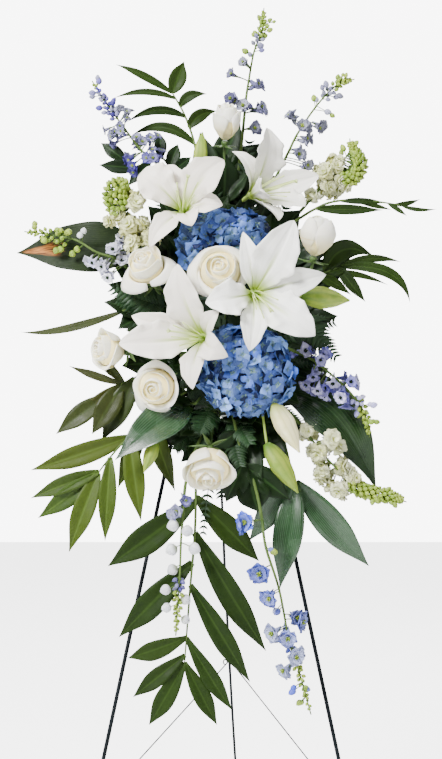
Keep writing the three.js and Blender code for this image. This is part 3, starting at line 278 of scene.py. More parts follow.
def noise_at(tree, place, detail=2.0):
    node = tree.nodes.new("ShaderNodeTexNoise")
    node.inputs["Detail"].default_value = detail
    tree.links.new(place, node.inputs["Vector"])
    return node

def object_place(tree):
    return tree.nodes.new("ShaderNodeTexCoord").outputs["Object"]

def make_veins():
    knobs = [("Lines", 12.0), ("Slant", 0.0), ("Waver", 0.3)]
    group, start, end = new_group("veins", knobs, ["Line", "Midrib"])
    along, across = fact_of(group, "along"), fact_of(group, "across")
    side = calc(group, "ABSOLUTE", across)
    noise = noise_at(group, object_place(group))
    hold(noise, Scale=90.0)
    waver = calc(group, "MULTIPLY", noise.outputs["Fac"], start.outputs["Waver"])
    straight = calc(group, "MULTIPLY", side, start.outputs["Lines"])
    leaning = calc(group, "MULTIPLY", calc(group, "SUBTRACT", along, calc(group, "MULTIPLY", side, 0.3)),
                   start.outputs["Slant"])
    phase = calc(group, "ADD", calc(group, "ADD", straight, leaning), waver)
    wave = calc(group, "ABSOLUTE", calc(group, "SINE", calc(group, "MULTIPLY", phase, math.pi)))
    feed(group, end.inputs["Line"], less(group, calc(group, "POWER", wave, 0.5)))
    feed(group, end.inputs["Midrib"], less(group, ramp_between(group, side, 0.02, 0.16)))
    return group

def make_mottle():
    group, start, end = new_group("mottle", [("Scale", 40.0), ("Low", 0.35), ("High", 0.65)], ["Patch"])
    noise = noise_at(group, object_place(group), 4.0)
    feed(group, noise.inputs["Scale"], start.outputs["Scale"])
    patch = ramp_between(group, noise.outputs["Fac"], start.outputs["Low"], start.outputs["High"])
    feed(group, end.inputs["Patch"], patch)
    return group

def make_fade():
    group, start, end = new_group("base to tip", [("From", 0.0), ("To", 0.5)], ["Fade"])
    fade = ramp_between(group, fact_of(group, "along"), start.outputs["From"], start.outputs["To"])
    feed(group, end.inputs["Fade"], fade)
    return group

VEINS, MOTTLE, FADE = make_veins(), make_mottle(), make_fade()
print("effects:", [g.name for g in (VEINS, MOTTLE, FADE)])

# %% [markdown]
# ## A finish from parts
# Every plant finish is mixed the same way: a body colour, a second colour in patches, a base colour that
# fades out along the petal, and a colour for the veins. Roughness and a little bump come from the same
# effects, so that the light breaks on the veins. Constant values sit on the shader itself.

# %% Mixing a plant's finish
def mix_colours(tree, factor, a, b, way="MIX"):
    node = tree.nodes.new("ShaderNodeMix")
    node.data_type, node.blend_type = "RGBA", way
    for label, value in (("Factor", factor), ("A", a), ("B", b)):
        feed(tree, node.inputs[label], value)
    return node.outputs["Result"]

def use(tree, group, **values):
    node = tree.nodes.new("ShaderNodeGroup")
    node.node_tree = group
    hold(node, **values)
    return node.outputs

def add_relief(tree, shader, height, strength, distance):
    bump = tree.nodes.new("ShaderNodeBump")
    hold(bump, Strength=strength, Distance=distance)
    feed(tree, bump.inputs["Height"], height)
    feed(tree, shader.inputs["Normal"], bump.outputs["Normal"])

def bare_material(name):
    material = bpy.data.materials.new(name)
    material.use_nodes = True
    return material, material.node_tree, material.node_tree.nodes["Principled BSDF"]

def plant_finish(name, body, patch, base, vein, rough=0.5, lines=10.0, slant=0.0, vein_share=0.35,
                 midrib=(0.5, 0.6, 0.3), midrib_share=0.0, fade=(0.0, 0.45), spot=45.0, bump=0.25,
                 soft=0.0, coat=0.0, sheen=0.0, gloss=0.3, other=None, shade=0.5, rib_end=None):
    material, tree, shader = bare_material(name)
    veins = use(tree, VEINS, Lines=lines, Slant=slant)
    patches = use(tree, MOTTLE, Scale=spot)["Patch"]
    away = use(tree, FADE, From=fade[0], To=fade[1])["Fade"]
    colour = mix_colours(tree, calc(tree, "MULTIPLY", patches, 0.55), body, patch)
    if other:
        colour = mix_colours(tree, fact_of(tree, "hue"), colour, other)
    dimmed = calc(tree, "MULTIPLY_ADD", fact_of(tree, "tone"), shade, 1 - 0.56 * shade)
    colour = mix_colours(tree, 1.0, colour, dimmed, "MULTIPLY")
    colour = mix_colours(tree, calc(tree, "MULTIPLY", veins["Line"], vein_share), colour, vein)
    if midrib_share:
        rib = calc(tree, "MULTIPLY", veins["Midrib"], midrib_share)
        if rib_end:
            ended = less(tree, use(tree, FADE, From=0.2, To=rib_end)["Fade"])
            rib = calc(tree, "MULTIPLY", rib, ended)
        colour = mix_colours(tree, rib, colour, midrib)
    feed(tree, shader.inputs["Base Color"], mix_colours(tree, less(tree, away), colour, base))
    feed(tree, shader.inputs["Roughness"], calc(tree, "MULTIPLY_ADD", patches, 0.18, rough - 0.09))
    grooves = calc(tree, "MULTIPLY", veins["Line"], -1.0)
    height = calc(tree, "ADD", grooves, calc(tree, "MULTIPLY", patches, 0.6))
    add_relief(tree, shader, height, bump, 0.0006)
    hold(shader, Subsurface_Weight=soft, Subsurface_Radius=(0.9, 1.0, 0.7), Subsurface_Scale=0.003,
         Coat_Weight=coat, Coat_Roughness=0.25, Sheen_Weight=sheen, Specular_IOR_Level=gloss)
    return material

# The lily petal's second colour, mixed in by each lily's hue, is a painted warm glow of light.
LILY_WHITE = plant_finish("lily petal", (0.88, 0.88, 0.84), (0.8, 0.81, 0.76), (0.3, 0.42, 0.03),
    (0.8, 0.8, 0.7), rough=0.45, lines=4.0, vein_share=0.25, midrib=(0.4, 0.52, 0.08), midrib_share=0.8,
    rib_end=0.7, fade=(0.02, 0.34), soft=0.1, spot=22.0, other=(0.86, 0.78, 0.68), shade=0.3, bump=0.3)
LILY_GREEN = plant_finish("lily green", (0.22, 0.34, 0.05), (0.3, 0.4, 0.08), (0.16, 0.26, 0.04),
    (0.4, 0.48, 0.16), rough=0.45, lines=3.0, fade=(0.0, 0.1), soft=0.1)
FILAMENT = plant_finish("filament", (0.5, 0.6, 0.18), (0.62, 0.7, 0.32), (0.3, 0.44, 0.08),
    (0.6, 0.68, 0.4), rough=0.45, lines=2.0, fade=(0.0, 0.5), soft=0.1)
BUD_GREEN = plant_finish("green bud", (0.2, 0.3, 0.03), (0.36, 0.42, 0.06), (0.07, 0.15, 0.015),
    (0.09, 0.17, 0.02), rough=0.45, lines=2.0, vein_share=0.75, fade=(0.0, 0.3), soft=0.1, gloss=0.3)
BUD_CREAM = plant_finish("cream bud", (0.8, 0.74, 0.4), (0.86, 0.82, 0.58), (0.3, 0.36, 0.08),
    (0.42, 0.4, 0.08), rough=0.45, lines=2.0, vein_share=0.6, fade=(0.0, 0.4), soft=0.15, gloss=0.3)
BUD_WHITE = plant_finish("white bud", (0.66, 0.68, 0.68), (0.46, 0.46, 0.54), (0.24, 0.27, 0.18),
    (0.36, 0.36, 0.46), rough=0.5, lines=2.0, vein_share=0.5, fade=(0.0, 0.45), soft=0.1, shade=0.6)
# Each rose petal deepens to yellow towards its base, down in the bowl, and the fold finish under the rims has
# that yellow: partly the rose's warmer heart, partly painted shade in the folds.
ROSE_CREAM = plant_finish("rose petal", (0.98, 0.96, 0.8), (0.97, 0.92, 0.66), (0.95, 0.82, 0.4),
    (0.88, 0.82, 0.6), rough=0.5, lines=9.0, vein_share=0.1, fade=(0.1, 0.75), bump=0.08, soft=0.5,
    sheen=0.05, spot=26.0, shade=0.2)
ROSE_FOLD_HEART_AND_SHADE = plant_finish("rose fold heart and shade", (0.92, 0.8, 0.42), (0.9, 0.74, 0.3), (0.9, 0.74, 0.3),
    (0.88, 0.72, 0.3), rough=0.6, lines=9.0, vein_share=0.1, bump=0.05, soft=0.35, shade=0.1)
ROSE_GREEN = plant_finish("rose green", (0.04, 0.08, 0.018), (0.07, 0.12, 0.03), (0.04, 0.07, 0.016),
    (0.1, 0.16, 0.05), rough=0.5, lines=3.0, fade=(0.0, 0.1))
HYDRANGEA_BLUE = plant_finish("hydrangea petal", (0.014, 0.045, 0.3), (0.028, 0.09, 0.42),
    (0.16, 0.26, 0.2), (0.012, 0.026, 0.2), rough=0.6, lines=3.5, slant=5.0, vein_share=0.5,
    fade=(0.0, 0.24), other=(0.17, 0.3, 0.6), bump=0.4, spot=60.0, shade=1.4)
SHADOW_BLUE = plant_finish("under the florets", (0.006, 0.012, 0.05), (0.008, 0.02, 0.05),
    (0.01, 0.03, 0.02), (0.01, 0.02, 0.05), rough=0.8, spot=120.0)
BLUE_FLORET = plant_finish("blue floret", (0.02, 0.04, 0.4), (0.06, 0.12, 0.55), (0.3, 0.36, 0.5),
    (0.014, 0.014, 0.24), rough=0.55, lines=4.0, fade=(0.0, 0.16), other=(0.36, 0.4, 0.6), shade=0.8)
VIOLET_FLORET = plant_finish("violet floret", (0.035, 0.025, 0.24), (0.09, 0.07, 0.36),
    (0.24, 0.25, 0.32), (0.03, 0.016, 0.14), rough=0.55, lines=4.0, fade=(0.0, 0.16),
    other=(0.27, 0.28, 0.36), shade=0.9)
PALE_FLORET = plant_finish("pale floret", (0.86, 0.87, 0.92), (0.56, 0.56, 0.66), (0.06, 0.06, 0.05),
    (0.4, 0.4, 0.52), rough=0.5, lines=4.0, fade=(0.0, 0.34), other=(0.05, 0.045, 0.34), shade=0.7)
LAVENDER_FLORET = plant_finish("lavender floret", (0.07, 0.07, 0.42), (0.2, 0.2, 0.56),
    (0.3, 0.32, 0.55), (0.05, 0.04, 0.3), rough=0.5, lines=4.0, fade=(0.0, 0.4), other=(0.6, 0.58, 0.72),
    shade=0.8)
CREAM_FLORET = plant_finish("cream floret", (0.84, 0.86, 0.66), (0.7, 0.73, 0.36), (0.4, 0.45, 0.08),
    (0.58, 0.62, 0.3), rough=0.55, lines=5.0, fade=(0.0, 0.5), other=(0.46, 0.46, 0.14), soft=0.15,
    shade=0.4)
SPIRE_GREEN = plant_finish("spire green", (0.05, 0.09, 0.018), (0.09, 0.14, 0.03), (0.04, 0.08, 0.016),
    (0.12, 0.18, 0.05), rough=0.6, lines=3.0, fade=(0.0, 0.1), gloss=0.2)
LEAF = plant_finish("palm leaf", (0.006, 0.016, 0.002), (0.012, 0.028, 0.003), (0.025, 0.05, 0.008),
    (0.018, 0.038, 0.006), rough=0.5, lines=9.0, vein_share=0.4, midrib=(0.04, 0.08, 0.014),
    midrib_share=0.3, fade=(0.0, 0.1), other=(0.019, 0.038, 0.003), gloss=0.1)
PALM_LEAF = plant_finish("lit palm leaf", (0.018, 0.04, 0.003), (0.03, 0.06, 0.004), (0.07, 0.12, 0.02),
    (0.045, 0.08, 0.007), rough=0.46, lines=9.0, vein_share=0.45, midrib=(0.09, 0.15, 0.03),
    midrib_share=0.35, fade=(0.0, 0.1), other=(0.055, 0.07, 0.004), gloss=0.16)
DARK_LEAF = plant_finish("dark leaf", (0.003, 0.01, 0.0025), (0.006, 0.018, 0.004), (0.016, 0.036, 0.01),
    (0.014, 0.034, 0.01), rough=0.4, lines=12.0, vein_share=0.45, midrib=(0.03, 0.07, 0.02),
    midrib_share=0.5, fade=(0.0, 0.1), other=(0.008, 0.02, 0.003), gloss=0.14)
# The glossy leaf shines from its coat, and its light vein streaks and lighter patches are painted highlights.
GLOSSY_LEAF_PAINTED_HIGHLIGHTS = plant_finish("glossy leaf", (0.008, 0.03, 0.007), (0.03, 0.075, 0.03), (0.03, 0.07, 0.016),
    (0.07, 0.14, 0.075), rough=0.26, lines=8.0, vein_share=0.5, fade=(0.0, 0.1), bump=0.6, coat=0.5,
    gloss=0.3, spot=30.0)
# The ridged leaf's light vein lines are partly its paler veins and partly painted highlights on its ridges.
RIDGED_LEAF = plant_finish("ridged leaf", (0.004, 0.015, 0.003), (0.012, 0.032, 0.006),
    (0.03, 0.07, 0.016), (0.035, 0.08, 0.025), rough=0.36, lines=9.0, vein_share=0.5, fade=(0.0, 0.1),
    bump=0.9, coat=0.2, gloss=0.25)
OLIVE_LEAF = plant_finish("olive leaf", (0.008, 0.018, 0.003), (0.018, 0.032, 0.005),
    (0.03, 0.045, 0.014), (0.022, 0.04, 0.008), rough=0.42, lines=8.0, vein_share=0.4,
    midrib=(0.04, 0.06, 0.018), midrib_share=0.4, fade=(0.0, 0.1), other=(0.045, 0.04, 0.005),
    gloss=0.16)
FERN_GREEN = plant_finish("fern", (0.009, 0.032, 0.009), (0.016, 0.05, 0.012), (0.01, 0.03, 0.006),
    (0.03, 0.075, 0.024), rough=0.5, lines=2.0, fade=(0.0, 0.1), other=(0.004, 0.013, 0.004), gloss=0.3)
print("plant finishes mixed")

# %% [markdown]
# ## The easel
# The real easel is bent from steel rod and dipped in dark green paint. Its front is one rod folded at the
# top, with a crossbar and a hook welded on. The back leg's end is rolled into an eye on the crossbar, and
# a thin wire turns in two small eyelets and holds the back leg from behind. Each is swept as a round rod
# along its middle line, because a rod keeps one thickness right round its bends.

# %% The easel's lean
LEG_LENGTH, FOOT_FORWARD, FOOT_SIDE = 1219.0, 290.0, 243.0
APEX_HEIGHT = math.sqrt(LEG_LENGTH ** 2 - FOOT_FORWARD ** 2 - FOOT_SIDE ** 2)
FRAME_LENGTH = math.hypot(FOOT_FORWARD, APEX_HEIGHT)
FRAME_UP = unit(np.array([0, FOOT_FORWARD, APEX_HEIGHT]))
FRAME_FRONT = np.array([0, -FRAME_UP[2], FRAME_UP[1]])
LEG, BAR, BACK_LEG, WIRE, RUN_GAP = 3.2, 2.5, 2.4, 1.1, 0.5
HINGE_DOWN, BRACE_DOWN, BRACE_HEIGHT = 95.0, 968.0, 361.0
BACK_FOOT = np.array([38.0, 310.0, 0.0])

def splay(down):
    """How far a front leg stands out sideways at a length down the frame."""
    return FOOT_SIDE * down / FRAME_LENGTH

def on_frame(right, down, proud=0.0):
    """A point on the leaning front frame, measured from its top."""
    return np.array([0, 0, APEX_HEIGHT]) + RIGHT * right - FRAME_UP * down + FRAME_FRONT * proud

def ring(centre, axis, radius, stretch=1.0, steps=28):
    side, other = sides_of(axis)
    turn = np.linspace(0, 2 * math.pi + 0.05, steps)[:, None]
    return centre + radius * (np.cos(turn) * side + stretch * np.sin(turn) * other)

def on_floor(growth):
    """Feet cut level by the floor."""
    for points in growth.points:
        points[:, 2] = np.maximum(points[:, 2], 0.0)
    return growth

def make_steel():
    material, tree, shader = bare_material("painted steel")
    patch = use(tree, MOTTLE, Scale=150.0)["Patch"]
    paint = mix_colours(tree, patch, (0.002, 0.004, 0.005), (0.004, 0.007, 0.009))
    worn = calc(tree, "MULTIPLY", use(tree, MOTTLE, Scale=700.0, Low=0.62, High=0.74)["Patch"], 0.25)
    feed(tree, shader.inputs["Base Color"], mix_colours(tree, worn, paint, (0.02, 0.02, 0.02)))
    feed(tree, shader.inputs["Roughness"], calc(tree, "MULTIPLY_ADD", worn, 0.5, 0.42))
    add_relief(tree, shader, use(tree, MOTTLE, Scale=420.0)["Patch"], 0.3, 0.0003)
    hold(shader, Specular_IOR_Level=0.12)
    return material

STEEL = make_steel()
print("front legs lean", round(math.degrees(math.atan2(FOOT_FORWARD, APEX_HEIGHT)), 1), "degrees")

# %% Bend the rods
hinge = on_frame(-10, HINGE_DOWN)
back_way = unit(np.array([0, BACK_FOOT[1] - hinge[1], -hinge[2]]))
back_side = np.array([0, -back_way[2], back_way[1]])
hinge_eye = BAR + RUN_GAP + BACK_LEG
pin_eye = 2 * WIRE + RUN_GAP
pin_behind = LEG + pin_eye
pin_right = splay(BRACE_DOWN)

def back_line(t):
    """The back leg's middle line, from its eye (0) to its foot (1)."""
    start = hinge + back_side * hinge_eye
    return start + (BACK_FOOT - start) * t - RIGHT * 28 * t * (1 - t)

front = Growth()
arch = [on_frame(s * splay(18), 18 - 12 * (1 - s * s)) for s in (-1, -0.6, 0, 0.6, 1)]
folded = [on_frame(-splay(d), d) for d in (FRAME_LENGTH + 4, 820, 420, 30)] + arch
folded += [on_frame(splay(d), d) for d in (30, 420, 820, FRAME_LENGTH + 4)]
front.round(smooth_path(folded, 5), LEG, 16)
front.round([on_frame(s * splay(HINGE_DOWN), HINGE_DOWN) for s in (-1, 1)], BAR, 14)
hook = [on_frame(8, HINGE_DOWN - up, proud) for up, proud in ((0, 0), (-2, 11), (4, 16), (14, 18))]
front.round(smooth_path(hook), BAR, 12)
for side in (-1, 1):
    eyelet = on_frame(side * pin_right, BRACE_DOWN, -pin_behind)
    front.round(ring(eyelet, RIGHT, pin_eye), WIRE + 0.3, 8)
    weld = on_frame(side * splay(HINGE_DOWN), HINGE_DOWN)
    front.round([weld - RIGHT * side * d for d in (0, 2, 5, 7)], [3.9, 4.3, 3.6, 2.5], 12)
on_floor(front).piece("easel_front", "stand", [STEEL], ["easel_front_frame"], "steel")

back = Growth()
back.round([back_line(t) for t in np.linspace(0, 1.004, 24)], BACK_LEG, 14)
back.round(ring(hinge, RIGHT, hinge_eye), BACK_LEG, 12)
on_floor(back).piece("easel_back", "back_leg", [STEEL], ["easel_back_leg"], "steel")

brace = Growth()
caught = back_line((hinge[2] - BRACE_HEIGHT) / hinge[2])
level = on_frame(0, BRACE_DOWN, -pin_behind)
level[0] = caught[0]
reach = unit(caught - level)
nose_radius = (BACK_LEG + RUN_GAP + WIRE) * 1.08
nose = [caught + nose_radius * (math.sin(a) * RIGHT + math.cos(a) * reach)
        for a in np.radians(range(-90, 91, 12))]
ends = {side: [on_frame(side * (pin_right + out), BRACE_DOWN, -pin_behind) for out in (6, -3, -8)]
        for side in (-1, 1)}
brace.round([*ends[-1], *nose, *ends[1][::-1]], WIRE, 10)
brace.round(ring(nose[0] + 3.9 * unit(np.array([-1, 0, 0.5])), FRONT, 3.4, 1.3), WIRE, 8)
brace.piece("brace_wire", "brace", [STEEL], ["easel_brace"], "steel")
print("the brace catches the back leg at", caught.round(), "mm")

# %% [markdown]
# ## The foam and its tray
# The flowers hide a block of green foam that holds them and their water. It lies in a thin moulded tray
# with two hoops over it, and the tray's tab hangs on the easel's hook. The tray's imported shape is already
# right, so it only gets its plastic. The foam gets a finer skin: soft corners and a crumbled face.

# %% The foam's own directions and its skin
FOAM = np.array([108.0, 226.0, 78.0])
FOAM_DOWN, FOAM_BACK = 240.0, LEG + 0.4 + 3.0 + 0.4

def on_foam(right, up, out):
    """A point in the foam, measured from the middle of its back."""
    return on_frame(right, FOAM_DOWN - up, FOAM_BACK + out)

def make_foam():
    material, tree, shader = bare_material("wet foam")
    patch = use(tree, MOTTLE, Scale=60.0)["Patch"]
    colour = mix_colours(tree, patch, (0.008, 0.022, 0.008), (0.014, 0.034, 0.012))
    feed(tree, shader.inputs["Base Color"], colour)
    hold(shader, Roughness=0.95)
    cells = tree.nodes.new("ShaderNodeTexVoronoi")
    hold(cells, Scale=900.0)
    feed(tree, cells.inputs["Vector"], object_place(tree))
    add_relief(tree, shader, cells.outputs["Distance"], 0.8, 0.0008)
    return material

def make_plastic():
    material, tree, shader = bare_material("tray plastic")
    patch = use(tree, MOTTLE, Scale=90.0)["Patch"]
    colour = mix_colours(tree, patch, (0.012, 0.04, 0.018), (0.016, 0.05, 0.022))
    feed(tree, shader.inputs["Base Color"], colour)
    feed(tree, shader.inputs["Roughness"], calc(tree, "MULTIPLY_ADD", patch, 0.12, 0.38))
    return material

chance = random.Random(7)
block = Growth()
turn = np.linspace(0, 2 * math.pi, 48, endpoint=False)
# A box with soft corners: the low power pulls a circle out towards them.
outline = np.stack([np.sign(part) * np.abs(part) ** 0.22 * width / 2
                    for part, width in ((np.cos(turn), FOAM[0]), (np.sin(turn), FOAM[2]))], 1)
skins = []
for t in np.linspace(0, 1, 28):
    shrink = 1 - 0.06 * abs(2 * t - 1) ** 12
    skins.append([on_foam(x * shrink - chance.random() * 0.4 * np.sign(x), (t - 0.5) * FOAM[1],
                          FOAM[2] / 2 + z * shrink - chance.random() * 0.5 * np.sign(z))
                  for x, z in outline])
block.shut_rings(skins)
block.piece("foam_skin", "stand", [make_foam()], ["foam_block"], "foam")
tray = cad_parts["foam_tray"]
PLASTIC = make_plastic()
for index in range(len(tray.data.materials)):
    tray.data.materials[index] = PLASTIC
print("foam skin:", block.count, "points")

# %% [markdown]
# ## Stems
# Every stem is pushed into the foam, and all of them spread from a line inside the block, so that none
# crosses another. A stem leaves the foam straight, bends once, and arrives at the back of its flower along
# the way that the flower faces. Each one tries small nudges of its hole until it is clear of the hoops and
# of the stems before it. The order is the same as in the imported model, so each finds the same hole.

# %% Find each stem's way
def way_out(target, nudge):
    """Where a stem on its way to the target leaves the foam, and the points just inside and outside."""
    local = target - on_foam(0, 0, 0)
    want = np.array([local[0], local @ FRAME_UP, local @ FRAME_FRONT])
    focus = np.array([np.clip(want[0] * 0.12, -26, 26), np.clip(want[1] * 0.5, -93, 93), 30]) + nudge
    way = want - focus
    walls = [(math.copysign(FOAM[a] / 2, way[a]) - focus[a]) / way[a] for a in (0, 1)]
    front_wall = (FOAM[2] - focus[2]) / way[2] if way[2] > 0 else math.inf
    door = focus + way * min(*walls, front_wall)
    direction = unit(target - on_foam(*focus))
    place = on_foam(*door)
    return door, direction, place - direction * 26, place + direction * 12

def stem_points(inside, outside, direction, end, arriving, count):
    """A stem that starts straight out of the foam and arrives the way its flower faces."""
    handle = np.linalg.norm(end - outside) * 0.36
    p1, p2 = outside + direction * handle, end - arriving * handle
    t = np.linspace(0, 1, count + 1)[:, None]
    curve = ((1 - t) ** 3 * outside + 3 * t * (1 - t) ** 2 * p1 + 3 * t * t * (1 - t) * p2 + t ** 3 * end)
    return np.array([inside, *curve])

def sampled(points, step=4.0):
    """Points no further apart than the step."""
    out = []
    for a, b in zip(points[:-1], points[1:]):
        count = max(1, math.ceil(np.linalg.norm(b - a) / step))
        out += [a + (b - a) * k / count for k in range(count)]
    return np.array([*out, points[-1]])

NUDGES = [(rank * 4 * math.cos(k * math.pi / 4), rank * 5 * math.sin(k * math.pi / 4), out)
          for rank in range(6) for k in range(8 if rank else 1) for out in (0, 8, -8, 16)]
HOOP_UP, TRAY_LIP = 62, 12
growing = []

def grow_stem(end, arriving, radius):
    """The coarse corners of a stem's way, and the smooth line to draw."""
    for nudge in NUDGES:
        (right, up, out), direction, inside, outside = way_out(end - arriving * 30, nudge)
        in_a_hoop = abs(abs(up) - HOOP_UP) < 2.5 + radius * 1.6 + 2
        in_the_tray = out < TRAY_LIP + radius + 4
        on_an_edge = abs(right) > FOAM[0] / 2 - radius - 2 and out > FOAM[2] - radius - 2
        if in_a_hoop or in_the_tray or on_an_edge:
            continue
        points = stem_points(inside, outside, direction, end, arriving, 3)
        samples = sampled(points)
        if all(np.linalg.norm(samples[:, None] - other[None], axis=2).min() > radius + size + 1
               for other, size in growing):
            growing.append((samples, radius))
            return points, stem_points(inside, outside, direction, end, arriving, 14)
    raise RuntimeError("no free place in the foam")

print("nudges to try:", len(NUDGES))

# %% [markdown]
# ## Lilies
# An oriental lily has three broad inner petals with ruffled edges and three narrow outer ones behind them.
# All six rise from a green throat and roll back at the tip. A midrib runs down each as a groove. Six
# filaments stand round the pistil, whose tip has three lobes. The florist has pulled off the brown anthers,
# so that they don't stain. Each petal is a grid swept along its own bend.

# %% The lilies' places
# Each lily's petals, inner and outer in turn, each with its tip and its width.
LILIES = {
    "lily_front": {
        "centre": (254, 294, 222), "faces": heading(0.1, 0.02, 1), "throat": 46,
        "petals": [(294, 220, 262, 66), (327, 273, 256, 46), (315, 336, 262, 62), (251, 351, 266, 42),
                   (206, 304, 266, 56), (245.6, 231, 258, 34)],
        "pistil": ((262, 300, 275), (270, 310, 295)),
    },
    "lily_left": {
        "centre": (204, 338, 214), "faces": heading(-0.45, 0.05, 1), "throat": 44,
        "petals": [(176, 264, 244, 56), (216, 312, 272, 34), (227, 357, 268, 42), (189, 389, 254, 40),
                   (118, 344, 252, 58), (128, 316, 226, 40)],
        "pistil": ((190, 334, 260), (170, 331, 282)),
    },
    "lily_upper_left": {
        "centre": (184, 212, 168), "faces": heading(-0.1, 0.35, 1), "throat": 42,
        "petals": [(138, 174, 182, 70), (165, 161, 176, 44), (223, 158, 186, 62), (222, 203, 208, 42),
                   (191, 226, 232, 42), (147, 243, 212, 38)],
        "pistil": ((184, 196, 222), (188, 178, 230)),
    },
    "lily_upper_right": {
        "centre": (250, 196, 118), "faces": heading(0.75, 0.3, 0.75), "throat": 40,
        "petals": [(268, 127, 128, 60), (325, 172, 132, 46), (308, 204, 150, 42), (284, 218, 182, 40),
                   (262, 190, 192, 40), (239, 148, 160, 38)],
        "pistil": ((280, 186, 172), (294, 182, 184)),
    },
}
print("lily petals:", sum(len(lily["petals"]) for lily in LILIES.values()))

# %% Grow the lilies
def ruffled_petal(growth, spine, side, halves, ruffle, seed, tone, hue):
    """A petal along its spine: a groove down the middle, edges that rise and are waved."""
    luck = random.Random(seed)
    n, columns = len(spine), 13
    face = np.cross(ways_along(spine), side)
    face /= np.linalg.norm(face, axis=1, keepdims=True)
    u = np.linspace(-1, 1, columns)[None, :, None]
    t = np.linspace(0, 1, n)[:, None, None]
    half = np.asarray(halves)[:, None, None]
    wave = np.zeros((n, columns, 1))
    for hand in (-1, 1):
        beats, phase = luck.uniform(3.2, 4.6), luck.uniform(0, 6.3)
        turns = 2 * math.pi * beats * t
        lap = np.sin(turns + phase) + 0.4 * np.sin(2.3 * turns + phase * 2)
        wave += np.where(u * hand > 0, 1, 0) * lap
    rise = 0.32 * half * u ** 2 + ruffle * half * np.abs(u) ** 3 * wave * np.sin(math.pi * t) ** 0.6
    groove = -0.1 * half * np.exp(-(u / 0.12) ** 2) + 0.05 * half * np.exp(-((np.abs(u) - 0.28) / 0.12) ** 2)
    width = u * (1 + 0.03 * wave * np.abs(u) ** 2)
    grid = spine[:, None] + np.asarray(side)[None, None] * half * width + face[:, None] * (rise + groove)
    growth.sheet(grid, 1.0, 0, tone, hue)

def lily_petal(growth, lily, tip, wide, inner, seed, hue):
    base, faces = seen(lily["centre"]), lily["faces"]
    end = seen(tip) + faces * (2 if inner else -8)
    way = end - base
    out = unit(way - faces * way.dot(faces))
    side = unit(np.cross(faces, out))
    start = base + out * 5.6 + faces * (4 if inner else 1)
    over = base + faces * (lily["throat"] + (20 if inner else 4)) + out * np.linalg.norm(way) * 0.4
    spine = bow(start, over, end, 30)
    t = np.linspace(0, 1, 30)
    luck = random.Random(seed)
    roll = luck.uniform(3, 8)
    spine = spine - faces * (roll * np.clip((t - 0.72) / 0.28, 0, 1) ** 2)[:, None] + \
        side * (luck.uniform(-3, 3) * t ** 2)[:, None]
    shape = np.sin(math.pi * (0.1 + 0.9 * t)) ** 0.8
    shape[-1] = 0.02
    from_axis = (spine - base) @ out
    halves = np.minimum(wide / 2 * shape * 1.04, from_axis * (0.7 if inner else 0.52))
    ruffled_petal(growth, spine, side, halves, 0.14 if inner else 0.05, seed, luck.random(), hue)

def stigma(growth, at, way, size, slot):
    """The pistil's tip, with three lobes."""
    side, other = sides_of(way)
    for k in range(3):
        a = k * 2 * math.pi / 3
        lobe = math.cos(a) * side + math.sin(a) * other
        bends = [at - way] + [at + way * size * rise + lobe * size * out
                              for rise, out in ((0.5, 0.3), (0.7, 0.85))]
        growth.round(bends, [size * 0.45, size * 0.55, size * 0.2], 8, slot)

def bud(growth, base, tip, wide, slot, tone=0.5):
    """A lily bud: three outer petals folded together, which shows as three soft ribs."""
    t = np.linspace(0, 1, 18)
    shape = np.interp(t, [0, 0.12, 0.4, 0.7, 0.9, 1], [0.14, 0.38, 0.51, 0.36, 0.14, 0.02])
    shape = np.convolve(np.pad(shape, 1, mode="edge"), [0.25, 0.5, 0.25], "valid")
    growth.round(base + (tip - base) * t[:, None], wide * shape, 18, slot, tone, ribs=3, rib_depth=0.12)

# How much painted warm light each lily's petals take on: a warm glow of light, stronger towards the left.
LILY_WARM_LIGHT = {"lily_front": 0.05, "lily_left": 0.7, "lily_upper_left": 0.85, "lily_upper_right": 0.3}
for name, lily in LILIES.items():
    base, faces = seen(lily["centre"]), lily["faces"]
    coarse, fine = grow_stem(base - faces * 7, faces, 3.4)
    stems = Growth()
    thick = [3.2] * (len(fine) - 1) + [3.6, 4.2, 4.4]
    stems.round([*fine, base - faces * 3, base + faces * 1.5], thick, 10)
    bent, end = seen_all(lily["pistil"])
    style = bow(base, bent * 2 - (base + end) / 2, end + faces * 3, 12)
    stems.round(style, np.interp(np.linspace(0, 1, 12), [0, 0.3, 1], [2.2, 1.5, 1.6]), 9, 1, 0.6)
    stigma(stems, style[-1], unit(style[-1] - style[-2]), 4.2, 1)
    side, other = sides_of(faces)
    for k in range(6):
        turn = k * math.pi / 3 + 0.4
        out = math.cos(turn) * side + math.sin(turn) * other
        tip = (bent + end) / 2 + out * (16 + 4 * (k % 2)) - faces * 4 * (k % 3)
        arm = bow(base + out * 2.9, base + faces * 26 + out * 6, tip, 9)
        stems.round(arm, [1.3, 1.2, 1.1, 1.0, 1.0, 0.9, 0.9, 0.9, 1.2], 6, 1, 0.7)
    if name == "lily_upper_left":
        bud(stems, seen((199, 168, 150)), seen((202.5, 132, 150)), 22, 2)
        stems.round(bow(coarse[-2], seen((196, 176, 150)), seen((199.1, 167, 150)), 10), 2.0, 8, 0)
    if name == "lily_front":
        bud(stems, seen((302, 295.5, 196)), seen((350, 300.5, 200)), 35, 2)
        stems.round(bow(coarse[-2], seen((285, 300, 190)), seen((303, 295.6, 196)), 10), 2.0, 8, 0)
    stems.piece(name + "_inside", "stand", [LILY_GREEN, FILAMENT, BUD_GREEN], [name + "_stem"], "lily_stem")
    petals = Growth()
    petals.round([base - faces * 2, base + faces * 2, base + faces * 7], [6, 7.4, 8.6], 12, 1)
    for k, (*tip, wide) in enumerate(lily["petals"]):
        lily_petal(petals, lily, tip, wide, k % 2 == 0, 31 * k + len(name), LILY_WARM_LIGHT[name])
    petals.piece(name + "_bloom", "stand", [LILY_WHITE, LILY_GREEN], [name + "_petals"], "lily_petal")
print("lilies:", len(LILIES), "stems in the foam:", len(growing))

